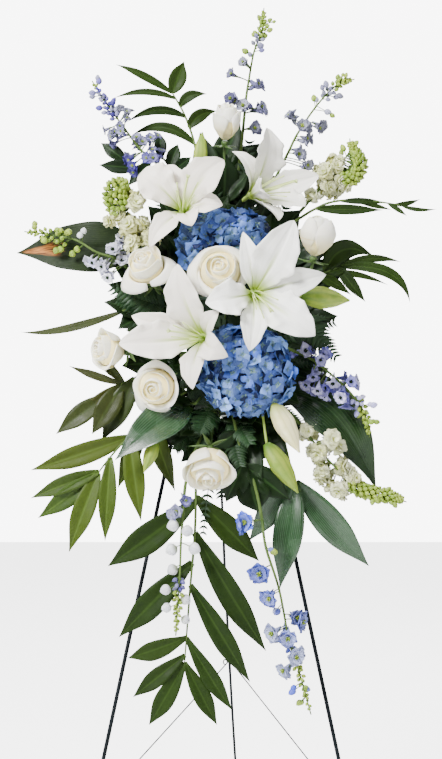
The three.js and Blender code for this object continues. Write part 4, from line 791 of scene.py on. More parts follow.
# %% Lily buds low in the middle and at the left
fork = seen((262, 408, 190))
_, fine = grow_stem(fork, heading(0.3, -0.6, 0.7), 2.8)
green_base, green_tip = seen((266, 444, 205)), seen((298, 493, 222))
cream_base, cream_tip = seen((273, 404, 216)), seen((299.6, 452.7, 230))
low = Growth()
low.round(fine, 2.7, 9)
green_foot = green_base + unit(green_tip - green_base) * 3
low.round(bow(fork, (fork + green_base) / 2 + FRONT * 4, green_foot, 9), 2.0, 8)
low.round([fork, cream_base + unit(cream_tip - cream_base) * 6], [2.2, 1.8], 8)
bud(low, green_base, green_tip, 33, 1, tone=0.4)
low.piece("green_bud_low", "stand", [LILY_GREEN, BUD_GREEN], ["lily_buds_lower_green"], "green_bud")
cream = Growth()
bud(cream, cream_base, cream_tip, 34, 0, tone=0.7)
cream.piece("cream_bud_low", "stand", [BUD_CREAM], ["lily_bud_lower_cream"], "cream_bud")
left_base, left_tip = seen((155.8, 440.7, 196)), seen((143.8, 472.2, 204))
_, fine = grow_stem(left_base, unit(left_tip - left_base), 2.2)
left_foot = left_base + unit(left_tip - left_base) * 3
small = Growth()
small.round(fine[:-1], 2.0, 8)
small.round(bow(fine[-2], (fine[-2] + left_base) / 2, left_foot, 6), 1.8, 8)
bud(small, left_base, left_tip, 22, 1)
small.piece("green_bud_left", "stand", [LILY_GREEN, BUD_GREEN], ["lily_bud_lower_left"], "green_bud")
print("buds grown, stems in the foam:", len(growing))

# %% [markdown]
# ## Roses
# A garden rose is a spiral: tight petals folded round its heart, then wider ones that each lap over the
# last, and outer ones whose rims roll back. Below it are a green hip and five sepals. Each petal is part
# of a bowl round the flower's axis, turned by the golden angle against the one before it. A ball with
# bumps would not do, because it is the dark folds between the rims that make a rose.

# %% The roses' places and petals
# Each rose's heart, the way it faces, its radius, how far it is open and how tall it is for its radius.
ROSES = {
    "rose_top": ((226, 122, 108), heading(0.05, 0.95, 0.3), 24, 0.15, 1.4),
    "rose_left": ((146, 268, 196), heading(-0.35, 0.75, 0.85), 32, 0.35, 1),
    "rose_centre": ((220, 271, 222), heading(-0.1, 0.3, 1), 36, 0.3, 1),
    "rose_far_left": ((109, 350, 176), heading(-0.95, 0.1, 0.6), 30, 0.4, 1),
    "rose_lower_left": ((157, 387, 206), heading(-0.25, -0.15, 1), 33, 0.35, 1),
    "rose_bottom": ((209, 467, 226), heading(-0.05, -0.75, 0.75), 38, 0.3, 1),
    "rose_right": ((317, 237, 176), heading(0.15, 0.95, 0.2), 31.5, 0, 1.1),
}
# How far below its heart a rose's petals start, and the gap at which its green hip ends, in millimetres.
ROSE_BASE, HIP_GAP = 0.9, 0.45

# Each petal's share of the way out from the heart. Petals crowd at the heart and stand apart outside.
ROSE_SHARES = [0.05, 0.11, 0.18, 0.26, 0.35, 0.45, 0.56, 0.68, 0.79, 0.88, 0.95, 1.0]

def rose_petal(growth, heart, axis, side, other, radius, tall, shut, share, turn, luck, tone):
    """One petal of the bowl: it wraps the heart, and its rim leans out and rolls back, or shuts over it."""
    v = np.linspace(0, 1, 18)[:, None]
    u = np.linspace(-1, 1, 17)[None]
    outer = max(0.0, (share - 0.6) / 0.4)
    rim = 0.07 + 0.9 * share ** 0.85
    top = 0.86 - 0.12 * share * (1 - shut) - 0.34 * outer * (1 - shut) * luck.uniform(0.5, 1.1)
    wrap = np.radians(104 - 34 * share) * np.sin(math.pi * (0.14 + 0.42 * v)) ** 0.8
    angle = turn + u * wrap
    lean_in = 0.34 * (1 - share) ** 1.5 + 0.42 * shut * share
    bowl = np.interp(v, [0, 0.12, 0.36, 0.62, 0.85, 1],
                     [0.14, 0.5, 0.88, 1.0, 0.98 - lean_in * 0.45, 0.95 - lean_in]) * rim
    swing = luck.uniform(0.2, 1.5) * outer * (1 - shut)
    roll = np.clip((v - 0.55) / 0.45, 0, 1) ** 2 * (0.02 + 0.42 * swing) * (1 - 0.45 * u ** 2)
    buckle = 0.035 * np.sin(u * luck.uniform(2, 4.5) + luck.uniform(0, 6)) * v ** 3 * (0.25 + outer)
    turn += luck.uniform(-0.3, 0.3) * outer
    lap = 0.05 * u * (1 - 0.5 * share)
    point = 0.1 * outer * np.exp(-(u / 0.22) ** 2) * v ** 4
    far = np.maximum(bowl + lap * v + roll + buckle + point, 0.02)
    crown = 1 - 0.14 * u ** 2 * v ** 2 - 0.09 * np.abs(u) ** 5 * v
    high = -ROSE_BASE + 0.04 + (top + ROSE_BASE) * v * crown - roll * (0.35 + 1.2 * swing) + buckle * 0.7
    high += luck.uniform(-0.16, 0.16) * (1 - shut) * u * v ** 2
    grid = heart + radius * (tall * high[..., None] * axis + far[..., None] *
                             (np.cos(angle)[..., None] * side + np.sin(angle)[..., None] * other))
    growth.sheet(grid, 0.9, 0, tone, share)

def rose_floor(growth, heart, axis, side, other, radius, tall, shut):
    """The next petals down, closed up: they end the folds a little below the rims,
    in a deeper yellow that is partly the rose's warmer heart and partly painted shade.
    """
    turn = np.linspace(0, 2 * math.pi, 24, endpoint=False)[:, None]
    around = np.cos(turn) * side + np.sin(turn) * other
    profile = ((0.2, -0.8), (0.6, -0.5), (0.84, -0.1), (0.8, 0.2), (0.62, 0.42), (0.4, 0.55), (0.2, 0.63),
               (0.03, 0.66))
    growth.shut_rings([heart + radius * (tall * high * axis + far * (1 - 0.25 * shut * max(high, 0)) * around)
                       for far, high in profile], 1, 0.6)

for name, (centre, axis, radius, opened, tall) in ROSES.items():
    luck = random.Random(name)
    heart = seen(centre)
    side, other = sides_of(axis)
    shut = min(max(1 - opened / 0.3, 0), 1)
    neck = heart - axis * (radius * tall * ROSE_BASE + HIP_GAP)
    _, fine = grow_stem(neck - axis * 12, axis, 2.6)
    bloom = Growth()
    start = luck.uniform(0, 6)
    for share, turn in zip(ROSE_SHARES, spread(len(ROSE_SHARES))):
        rose_petal(bloom, heart, axis, side, other, radius, tall, shut, share,
                   start + turn + luck.uniform(-0.25, 0.25), luck, luck.uniform(0.45, 0.75))
    rose_floor(bloom, heart, axis, side, other, radius, tall, shut)
    bloom.piece(name + "_bloom", "stand", [ROSE_CREAM, ROSE_FOLD_HEART_AND_SHADE], [name + "_petals"], "rose_petal")
    green = Growth()
    hip = [*fine, neck - axis * 8, neck - axis * 5, neck - axis * 2, neck]
    green.round(hip, [2.5] * len(fine) + [4.0, 6.0, 6.2, 4.8], 10, 0)
    for k in range(5):
        out = math.cos(k * FIFTH_TURN) * side + math.sin(k * FIFTH_TURN) * other
        along = unit(np.cross(axis, out))
        spine = bow(neck - axis * 7 + out * 3, neck - axis * 9 + out * radius * 0.5,
                    neck - axis * (6 + 5 * luck.random()) + out * radius * 0.88, 10)
        wide = np.interp(np.linspace(0, 1, 10), [0, 0.3, 1], [3.0, 4.2, 0.3])
        u = np.linspace(-1, 1, 5)[None, :, None]
        grid = spine[:, None] + along * wide[:, None, None] * u - axis * 0.9 * u ** 2
        green.sheet(grid, 0.8, 0, luck.random())
    green.piece(name + "_green", "stand", [ROSE_GREEN], [name + "_stem"], "rose_stem")
print("roses:", len(ROSES), "petals each:", len(ROSE_SHARES))

# %% [markdown]
# ## Hydrangeas
# A hydrangea's head is a dome of some hundred small flowers on thin stalks, each with four broad petals
# that all but touch. The blue varies from flower to flower and is paler at the middle. The heads are built
# from such florets over a dark core, spread by the golden angle, each tilted a little by chance.

# %% The hydrangeas' places, and their florets
# Each head's middle, the way it faces, and half its width, depth and height.
HYDRANGEAS = {
    "hydrangea_upper": ((224, 243, 152), heading(0, 0.25, 1), (78, 44, 58)),
    "hydrangea_lower": ((247, 371, 205), heading(0.1, -0.2, 1), (78, 42, 74)),
}

def floret(growth, middle, face, radius, lobes, spin, luck, tone, hue, dish, broad, sag, frill, rows=5,
           columns=5):
    """A small open flower: broad petals round a middle, cupped by the dish."""
    side, other = sides_of(face)
    t = np.linspace(0, 1, rows)[:, None]
    u = np.linspace(-1, 1, columns)[None]
    for k in range(lobes):
        turn = spin + k * 2 * math.pi / lobes + luck.uniform(-0.12, 0.12)
        out = math.cos(turn) * side + math.sin(turn) * other
        along = np.cross(face, out)
        reach = radius * luck.uniform(0.88, 1.06)
        shape = np.sin(math.pi * (0.12 + 0.8 * t)) ** 0.75
        half = reach * broad / 2 * shape
        far = reach * (0.07 + 0.93 * t) - reach * 0.16 * t ** 2 * u ** 2
        tilt = luck.uniform(-0.14, 0.14)
        lift = radius * (dish * t ** 1.3 - sag * t ** 3) + half * (0.2 * u ** 2 + tilt * u) + \
            radius * frill * np.sin(7 * u + luck.uniform(0, 6)) * t ** 2 + 0.35 * (k % 2)
        grid = middle + far[..., None] * out + (half * u)[..., None] * along + lift[..., None] * face
        growth.sheet(grid, 0.5, 0, tone + luck.uniform(-0.12, 0.12), hue)

FLORETS_ON_A_HEAD = 170
# The dark core's share of the head's size.
CORE_SHARE = 0.84
for name, (centre, faces, size) in HYDRANGEAS.items():
    luck = random.Random(name)
    middle, size = seen(centre), np.array(size, float)
    _, fine = grow_stem(middle - faces * size[1] * 0.35, faces, 3.6)
    stalk = Growth()
    stalk.round(fine, 3.5, 12, 0)
    stalk.piece(name + "_stalk", "stand", [SPIRE_GREEN], [name + "_stem"], "hydrangea_stem")
    bloom = Growth()
    turn = np.linspace(0, 2 * math.pi, 20, endpoint=False)
    rings = []
    for c in np.linspace(-1, 1, 13):
        r = math.sqrt(max(1 - c * c, 0.0004))
        around = np.stack([np.cos(turn) * r, np.sin(turn) * r, np.full(20, c)], 1)
        rings.append(middle + around * size * CORE_SHARE)
    bloom.shut_rings(rings, 1)
    for index, turn in enumerate(spread(FLORETS_ON_A_HEAD)):
        high = 1 - 2 * (index + 0.5) / FLORETS_ON_A_HEAD
        r = math.sqrt(1 - high * high)
        way = np.array([r * math.cos(turn), -high, r * math.sin(turn)])
        lump = 0.5 + 0.5 * math.sin(way[0] * 4.2 + 1) * math.cos(way[2] * 4.6 - 0.6)
        at = middle + way * size * (CORE_SHARE + 0.1 * lump + luck.uniform(-0.06, 0.05))
        normal = unit(way / size)
        face = unit(normal + np.array([luck.uniform(-0.7, 0.7) for _ in range(3)]) + FRONT * 0.05)
        hue = min(max(lump * 0.5 + luck.uniform(-0.1, 0.55), 0), 1)
        floret(bloom, at, face, luck.uniform(13, 18), 4, luck.uniform(0, 1.6), luck,
               luck.uniform(0.0, 1.0) ** 1.3, hue, dish=luck.uniform(0.05, 0.4), broad=1.06,
               sag=luck.uniform(0.0, 0.3), frill=0.05, rows=4)
        # The bead at the middle of the floret.
        bloom.round([at + face * high for high in (-0.06, 0.9, 1.86)], [0.72, 1.2, 0.72], 6, 0, 0.3, 0.9)
    bloom.piece(name + "_bloom", "stand", [HYDRANGEA_BLUE, SHADOW_BLUE], [name + "_head"],
                "hydrangea_floret")
print("hydrangea florets:", FLORETS_ON_A_HEAD * len(HYDRANGEAS))

# %% [markdown]
# ## Delphinium and snapdragon spires
# A spire opens from below, so it carries wide flowers at its foot, half-open ones above, and green buds at
# the tip. A delphinium flower has five cupped sepals round a small pale bee, and a spur behind. A
# snapdragon flower is a tube whose lips are ruffled. Each stands on its own stalk from the spire's stem.

# %% The spires' places
# The marks along each stem, then the column, row and size of its open flowers and of its buds.
SPIRES = {
    "delphinium_top": {
        "stem": [(243, 130, 62), (246, 99, 62), (249, 79, 60), (254, 52, 58), (262, 30, 56),
                 (263.7, 11.6, 55)],
        "open": [(232, 74, 15), (231, 99, 17), (243, 106, 18), (257, 84, 17), (261, 107, 17),
                 (254, 128, 16), (243, 62, 12)],
        "buds": [(245, 51, 14), (261, 46, 14), (255, 33, 12), (270, 30, 12), (265, 36, 12),
                 (270, 20, 10), (259, 17, 10)],
    },
    "delphinium_upper_right": {
        "stem": [(274, 181, 96), (289, 151, 98), (298, 133, 98), (318, 104, 96), (338, 84, 94),
                 (351, 80, 92)],
        "open": [(290, 116, 17), (302, 126, 18), (319, 128, 17), (306, 138, 16), (298, 154, 18),
                 (307, 165, 15)],
        "buds": [(314, 98, 14), (326, 84, 14), (338, 77, 12), (346, 75, 10), (340, 96, 14),
                 (328, 112, 14)],
    },
    "delphinium_upper_left": {
        "stem": [(163, 172, 128), (152, 158, 130), (140, 149, 130), (120, 122, 128), (108, 106, 126),
                 (94, 84, 124)],
        "open": [(133, 165, 18), (153, 158, 17), (142, 142, 18), (126, 112, 15), (112, 136, 16),
                 (121, 131, 15), (150, 138, 14)],
        "buds": [(99, 81, 14), (92, 93, 14), (104, 96, 13), (113, 102, 13), (99, 108, 13)],
    },
    "delphinium_left": {
        "stem": [(128, 268, 150), (114, 258, 152), (96, 252, 152), (76, 240, 150), (52, 235, 148),
                 (28, 232, 146)],
        "open": [(93, 262, 16), (102, 266, 15), (113, 250, 17), (120, 239, 14), (122, 261, 16),
                 (108, 277, 14)],
        "buds": [(34, 226, 12), (43, 241, 13), (57, 229, 13), (68, 231, 13), (60, 250, 14),
                 (80, 234, 13), (76, 250, 14)],
    },
    "delphinium_right": {
        "stem": [(296, 352, 160), (313, 360, 166), (333, 376, 170), (350, 392, 170), (364, 412, 168),
                 (369, 434, 166)],
        "open": [(304, 351, 17), (320, 360, 18), (313, 376, 17), (333, 382, 18), (318, 389, 16),
                 (341, 397, 17), (350, 382, 15)],
        "buds": [(361, 400, 14), (374, 405, 14), (357, 414, 14), (371, 422, 13), (377, 422, 12)],
    },
    "delphinium_lower_left": {
        "stem": [(184, 498, 216), (183, 515, 226), (181, 540, 236), (180, 570, 240), (178, 600, 242),
                 (176, 632, 242)],
        "open": [(186, 500, 17), (177, 511, 17), (171, 526, 14), (189, 532, 14)],
        "buds": [(171, 550, 17), (195, 549, 17), (172, 570, 16), (165, 590, 15), (186, 600, 15),
                 (166, 608, 14), (186, 620, 13)],
    },
    "delphinium_lower_right": {
        "stem": [(262, 520, 214), (266, 548, 228), (279, 589, 240), (289, 640, 246), (298, 668, 248),
                 (310, 711, 248)],
        "open": [(246, 522, 17), (260, 573, 18), (270, 598, 18), (296, 617, 18), (288, 637, 17),
                 (273, 633, 16), (296, 657, 16), (284, 670, 15)],
        "buds": [(306, 689, 15), (292, 692, 15), (299, 703, 13), (274, 552, 15), (277, 612, 15)],
    },
    "snapdragon_left": {
        "stem": [(145, 254, 172), (137, 238, 174), (128, 222, 174), (120, 204, 172), (119, 194, 170),
                 (123, 183, 168)],
        "open": [(116, 214, 17), (136, 202, 18), (128, 224, 19), (143, 222, 18), (131, 240, 18),
                 (150, 240, 15)],
        "buds": [(110, 197, 15), (120, 190, 15), (128, 191, 14), (126, 182, 12)],
    },
    "snapdragon_upper_right": {
        "stem": [(310, 200, 108), (320, 188, 110), (333, 172, 110), (344, 160, 108), (350, 150, 106),
                 (350, 142, 104)],
        "open": [(338, 166, 17), (324, 172, 17), (330, 187, 18), (317, 196, 16), (341, 181, 14)],
        "buds": [(343, 148, 14), (355, 154, 14), (352, 168, 14), (356, 143, 12)],
    },
    "snapdragon_lower_right": {
        "stem": [(300, 424, 172), (312, 440, 180), (330, 462, 184), (352, 480, 186), (378, 494, 184),
                 (403, 501, 182)],
        "open": [(308, 431, 16), (333, 439, 18), (317, 454, 18), (323, 472, 18), (345, 467, 17),
                 (337, 492, 17), (356, 478, 15)],
        "buds": [(362, 491, 15), (377, 500, 15), (388, 490, 14), (395, 505, 12)],
    },
}
print("spire flowers:", sum(len(s["open"]) for s in SPIRES.values()),
      "and buds:", sum(len(s["buds"]) for s in SPIRES.values()))

# %% Grow the spires
# The order of a spire's finishes.
PETAL, STALK, GREEN_BUD, DARK, WHITE_BUD = range(5)

def nearest(points, target):
    return int(np.linalg.norm(points - target, axis=1).argmin())

def snapdragon(growth, root, target, face, radius, spin, luck, tone, hue):
    """A tube from its stalk, then ruffled lips in three rounds."""
    foot = target - face * radius * 0.9
    growth.round(bow(root, (root + foot) / 2 + UP * 2, foot, 4), [0.9, 0.8, 1.0, 1.4], 5, STALK)
    growth.round([foot + face * radius * far for far in (0, 0.3, 0.62, 0.9)],
                 [radius * r for r in (0.12, 0.34, 0.4, 0.46)], 8, PETAL, tone, min(hue + 0.4, 1), 4, 0.1)
    rounds = ((5, 1.0, -0.3, 0.3, 0.6), (4, 0.8, -0.05, 0.6, 0.2), (3, 0.5, 0.1, 0.9, 0.0))
    for lips, size, lift, dish, sag in rounds:
        floret(growth, target + face * radius * lift, face, radius * size, lips, spin + size * 3, luck,
               tone + luck.uniform(-0.15, 0.15), hue * size, dish, 1.3, sag, 0.14, columns=6)

def delphinium(growth, root, target, face, radius, spin, luck, tone, hue, cup, dark_eye):
    """Five outer sepals and five inner ones, cupped as far as the flower has opened, and a spur behind."""
    side, other = sides_of(face)
    foot = target - face * radius * 0.6
    growth.round(bow(root, (root + foot) / 2 + UP * 2, foot, 4), [1.1, 0.9, 1.0, 1.2], 5, STALK)
    back = -face + UP * 0.25
    spur = [target - face * radius * 0.1, target + back * radius * 0.45, target + back * radius * 0.9]
    growth.round(spur, [radius * 0.24, radius * 0.17, 0.8], 7, PETAL, tone * 0.8, hue)
    throat = [foot, target - face * radius * 0.3, target - face * radius * 0.02]
    growth.round(throat, [1.3, radius * 0.26, radius * 0.3], 8, PETAL, tone * 0.7, hue)
    for size, rise, turn, brighter in ((1.0, cup, 0.0, 0.0), (0.8, cup + 0.2, 0.6, 0.15)):
        floret(growth, target, face, radius * size * (1 - 0.3 * cup), 5, spin + turn, luck,
               min(tone + brighter, 1), min(hue + brighter, 1), rise, 1.12, 0.25 * cup, 0.07)
    for k in range(4):
        turn = spin + k * QUARTER_TURN
        tip = math.cos(turn) * side + math.sin(turn) * other
        bee = [target + (face * high + tip * out) * radius
               for high, out in ((0, 0), (0.22, 0.12), (0.4, 0.16))]
        growth.round(bee, [radius * r for r in (0.09, 0.1, 0.04)], 5, DARK if dark_eye else GREEN_BUD,
                     luck.uniform(0.1, 0.6))

def bud_on_spire(growth, root, target, out, size, slot, tone, hue, bell, fat=1.0):
    """A small closed bud on a thin stalk."""
    growth.round(bow(root, (root + target) / 2 + UP * 1.2, target, 3), 0.8, 5, STALK)
    length = size * (0.8 if bell else 0.75)
    growth.round(target + out * length * np.array([-0.2, -0.05, 0.2, 0.5, 0.8, 1])[:, None],
                 [r * size * fat for r in (0.1, 0.27, 0.36, 0.35, 0.22, 0.05)], 8, slot, tone, hue)

# For each spire its petals' finish, the range of hue, the flowers at a place, their share of their place's
# size, and how shut they are.
MANNER = {
    "delphinium_top": (VIOLET_FLORET, 0.35, 1.0, 3, 0.82, 0.62),
    "delphinium_upper_right": (VIOLET_FLORET, 0.7, 1.0, 3, 0.8, 0.65),
    "delphinium_upper_left": (VIOLET_FLORET, 0.0, 0.95, 5, 0.7, 0.45),
    "delphinium_left": (PALE_FLORET, 0.0, 0.35, 3, 0.84, 0.35),
    "delphinium_right": (LAVENDER_FLORET, 0.0, 0.8, 4, 0.9, 0.55),
    "delphinium_lower_left": (VIOLET_FLORET, 0.0, 0.9, 2, 0.8, 0.5),
    "delphinium_lower_right": (BLUE_FLORET, 0.0, 1.0, 2, 1.1, 0.35),
    "snapdragon_left": (CREAM_FLORET, 0.5, 1.0, 5, 0.84, 0.0),
    "snapdragon_upper_right": (CREAM_FLORET, 0.1, 0.8, 5, 0.84, 0.0),
    "snapdragon_lower_right": (CREAM_FLORET, 0.0, 0.6, 5, 0.88, 0.0),
}
# How far the buds of each snapdragon's knobbly green top stand out, and where that top lies.
TOPS = {
    "snapdragon_left": (
        17, [(128, 214, 174), (120, 206, 176), (116, 196, 176), (119, 187, 172), (124, 182, 168)]),
    "snapdragon_upper_right": (
        8, [(338, 180, 110), (352, 178, 112), (360, 167, 112), (357, 155, 110), (350, 143, 106)]),
    "snapdragon_lower_right": (
        8, [(346, 478, 186), (360, 489, 186), (376, 494, 184), (392, 497, 182), (402, 500, 182)]),
}
SPIRE_SLOTS = {
    "delphinium_upper_left": "violet_floret", "delphinium_left": "white_floret",
    "delphinium_right": "lavender_floret", "delphinium_lower_left": "white_floret",
}
# How many of the buds at a delphinium's tip are green, counted from the end.
GREEN_TIPS = {"delphinium_upper_left": 4, "delphinium_left": 34}
for name, plant in SPIRES.items():
    luck = random.Random(name)
    bell = name.startswith("snapdragon")
    petals, low_hue, high_hue, crowd, share, cup = MANNER[name]
    marks = np.array(seen_all(plant["stem"]))
    _, fine = grow_stem(marks[0], unit(marks[1] - marks[0]), 2.8)
    line = sampled(marks)
    growth = Growth()
    growth.round(fine, 2.6, 9, STALK)
    head = smooth_path(marks, 5)
    head = [*head, head[-1] + unit(head[-1] - head[-2]) * 6]
    growth.round(head, np.linspace(2.5, 1.0, len(head)), 9, STALK)
    depth = plant["stem"][2][2]
    def place(column, row, proud):
        """The stalk's root on the stem, the flower's place, and the way between them."""
        root = line[max(0, nearest(line, seen((column, row, depth))) - 2)]
        target = seen((column, row, -root[1] + proud))
        return root, target, unit(target - root)
    hanging = name == "delphinium_lower_left"
    for k, (column, row, radius) in enumerate(plant["open"]):
        if hanging and k > 1:
            root, target, out = place(column, row, 6)
            bud_on_spire(growth, root, target - out * 9, out, 21, WHITE_BUD, luck.uniform(0.6, 1.0), 0, bell,
                         fat=1.25)
            continue
        for twin in range(crowd):
            wander = 0 if twin == 0 else 4.5 if crowd < 4 else 8
            column_now, row_now = column + luck.uniform(-wander, wander), row + luck.uniform(-wander, wander)
            root, target, out = place(column_now, row_now, (8, 18, 12, 3)[k % 4] - 7 * twin)
            face = unit(out + FRONT * luck.uniform(0.1, 0.9) + RIGHT * luck.uniform(-0.4, 0.4))
            size, tone = radius * share * luck.uniform(0.85, 1.1), luck.uniform(0, 1)
            hue = luck.uniform(low_hue, high_hue)
            if petals is BLUE_FLORET:
                hue = min(max((k + luck.uniform(-1, 1)) / 7, 0), 1)
            if name == "delphinium_upper_left":
                hue = min(max((162 - row_now) / 50 + luck.uniform(-0.2, 0.2), 0), 1)
            if bell:
                snapdragon(growth, root, target, face, size, k + twin, luck, tone, hue)
            else:
                delphinium(growth, root, target, face, size, k + twin, luck, tone, hue,
                           cup * luck.uniform(0.7, 1.2), petals in (LAVENDER_FLORET, PALE_FLORET))
    for k, (column, row, size) in enumerate(plant["buds"]):
        for twin in range(1 if hanging else 2):
            root, target, out = place(column + twin * luck.uniform(-5, 5), row + twin * luck.uniform(-5, 5),
                                      8 if k % 2 else -4)
            green = bell or name != "delphinium_upper_left" and (size < 14 or (k + twin) % 3 == 0)
            if hanging or petals is PALE_FLORET:
                bud_on_spire(growth, root, target - out * size * 0.4, out, size * (1.25 if hanging else 0.9),
                             WHITE_BUD if hanging or k == 5 else GREEN_BUD, luck.uniform(0.5, 1.0), 0, bell,
                             fat=1.25)
                continue
            bud_on_spire(growth, root, target - out * size * 0.3, out, size * (1 - 0.2 * twin),
                         GREEN_BUD if green else PETAL, luck.uniform(0.2, 1.0),
                         luck.uniform(low_hue, high_hue), bell)
    stands, knobs = TOPS[name] if bell else (9 if petals is PALE_FLORET else 5, plant["stem"][-3:])
    top = smooth_path(np.array(seen_all(knobs)), 16)
    many = 110 if bell else 34
    green_tips = GREEN_TIPS.get(name, 26)
    for k in range(many):
        far = 1 - k / many * (1 if bell else 0.9)
        index = min(int(far * (len(top) - 1)), len(top) - 2)
        way = unit(top[index + 1] - top[index])
        a, b = sides_of(way)
        out = unit(math.cos(k * 2.4) * a + math.sin(k * 2.4) * b + way * 0.6)
        reach = stands * min((1 - far) * 2.2 + 0.1, 1) * (1 if bell else 0.5 + 0.7 * (1 - far))
        size = 8 + 4 * (1 - far) if bell else 6.5 + 4 * (1 - far)
        root = top[index] - way * 2
        if bell:
            root = line[nearest(line, root)]
        bud_on_spire(growth, root, top[index] + out * reach, out, size,
                     GREEN_BUD if bell or k < green_tips else PETAL, luck.uniform(0.1, 1.0),
                     luck.uniform(low_hue, high_hue), bell)
    growth.piece(name + "_spire", "stand", [petals, SPIRE_GREEN, BUD_GREEN, DARK_LEAF, BUD_WHITE], [name],
                 "cream_floret" if bell else SPIRE_SLOTS.get(name, "blue_floret"))
print("spires:", len(SPIRES), "stems in the foam:", len(growing))

# %% [markdown]
# ## Leaves and fronds
# Palm leaflets are stiff and folded along their middle, like a long shallow gutter. Leather-hard leaves
# are broad and wavy. Ruscus has short ones on a thin stem. All are sheets along a bend, with a groove for
# the midrib, and their veins come from the finish.

# %% The fronds' places
# The marks along each rib, then for each leaflet the column and row of its foot and of its tip, its width and
# how far its tip leans forward. Two more numbers are the place towards which the middle of a curved one is
# pulled.
FRONDS = {
    "palm_frond_top": {
        "rib": [(201, 182, 84), (194.5, 144, 84), (185.5, 117, 82), (176, 99, 78), (171, 91, 76)],
        "leaflets": [(170.4, 91, 116, 64.5, 13, 8, 143, 73), (176, 99, 114, 98, 11, -8, 146, 88),
                     (185.5, 117, 127, 122, 14, 10, 157, 101),
                     (194.5, 144, 132, 135, 17, -14, 165, 118), (171, 91, 184, 61.3, 28, -6),
                     (181, 105.5, 207, 94, 17, 8, 186, 93), (191, 128, 217, 111, 21, -10, 196, 112)],
    },
    "palm_frond_upper_left": {
        "rib": [(186, 186, 112), (172, 172, 110), (161, 158, 106), (137, 168, 100), (124, 160, 98)],
        "leaflets": [(161, 155, 160, 133, 20, -10), (171, 167, 178, 144, 22, -8),
                     (172, 172, 191, 157, 20, -6), (126, 159, 101, 143, 22, -8),
                     (137, 168, 99, 165, 22, 0), (150, 164, 128, 186, 20, 6)],
    },
    "palm_frond_lower_left": {
        "rib": [(150, 412, 138), (134, 432, 158), (118, 448, 172), (104, 465, 176), (97, 475, 172)],
        "leaflets": [(126, 441, 31, 470, 34, -10), (104, 466, 31, 498, 27, -6),
                     (98, 474, 38, 518, 31, -10), (98, 474, 69, 552, 34, 8),
                     (111, 459, 105, 541, 27, 10), (133, 447, 141, 521, 32, 8),
                     (150, 426, 118, 488, 28, -12), (150, 420, 175, 491, 30, 6)],
    },
    "palm_frond_bottom": {
        "rib": [(196, 476, 166), (195, 530, 200), (190, 590, 220), (187, 630, 224), (184.5, 665, 220)],
        "leaflets": [(186, 505, 108, 566, 45, 4), (190, 566, 119, 637, 40, -4),
                     (188, 629, 128, 658, 30, -8), (185, 647, 133, 697, 27, -4),
                     (184, 667, 149, 725, 30, -4), (205, 500, 259, 561, 39, -6),
                     (196, 536, 266, 651, 39, -8), (189.5, 589, 250, 682, 32, -8),
                     (188, 630, 232, 710, 26, -4), (184.5, 661, 217, 725, 27, -6)],
    },
    "palm_fan_right": {
        "rib": [(318, 276, 146), (326, 272, 146), (334, 269, 146), (342, 266, 144)],
        "leaflets": [(342, 266, 400.5, 262, 13, -6, 371, 252), (342, 266, 410, 302.5, 18, 4, 402, 264),
                     (339, 268, 365.5, 302, 19, 10), (326, 274, 388, 285, 10, -12, 358, 273),
                     (322, 262, 373, 255.5, 34, -14, 336, 236), (322, 275, 350, 258, 20, -6, 342, 272),
                     (318, 276, 351, 295, 17, -4, 334, 280)],
    },
    "ruscus_upper_right": {
        "rib": [(300, 218, 128), (314, 209.5, 128), (330, 202.5, 128), (350, 200, 126), (372, 201, 124),
                 (390, 203.5, 122), (404, 206, 121)],
        "leaflets": [(316, 210, 383, 210, 16, 10), (341, 202, 387, 203, 11, -8),
                     (354, 201, 392, 210, 8, -4), (388, 203, 407, 216, 8, 6),
                     (396, 205, 420.5, 199, 8, -6, 406, 205), (402, 206, 437, 209, 7, 0, 416, 213)],
    },
    "leaves_lower_left": {
        "rib": [(158, 372, 150), (140, 376, 152), (122, 384, 152), (104, 398, 150)],
        "leaflets": [(122, 384, 69, 366, 13, -8), (106, 396, 56, 434, 32, 4),
                     (122, 384, 92, 434, 36, 10), (136, 378, 102, 441, 38, -8),
                     (122, 384, 79, 412, 17, -4), (124, 382, 92, 352, 16, -8)],
    },
    "leaves_behind_top": {
        "rib": [(208, 214, 52), (210, 200, 48), (214, 186, 42), (218, 170, 38)],
        "leaflets": [(218, 172, 240, 120, 46, 0), (216, 182, 272, 142, 46, -10),
                     (213, 188, 200, 132, 44, 0), (211, 198, 290, 178, 40, -14)],
    },
    "dark_leaves_lower": {
        "rib": [(236, 430, 176), (240, 448, 180), (245, 466, 184), (250, 480, 184)],
        "leaflets": [(236, 432, 214, 448, 26, 10), (246, 462, 226, 502, 42, 2),
                     (250, 476, 258, 512, 50, 4), (246, 466, 290, 500, 40, -6)],
    },
    "glossy_leaves_lower_right": {
        "rib": [(284, 440, 152), (288, 456, 158), (292, 472, 162), (296, 484, 162)],
        "leaflets": [(288, 476, 249, 541, 40, 8), (298, 486, 280, 588, 46, 14),
                     (296, 484, 369, 566, 46, 0)],
    },
}
print("leaflets on fronds:", sum(len(f["leaflets"]) for f in FRONDS.values()))

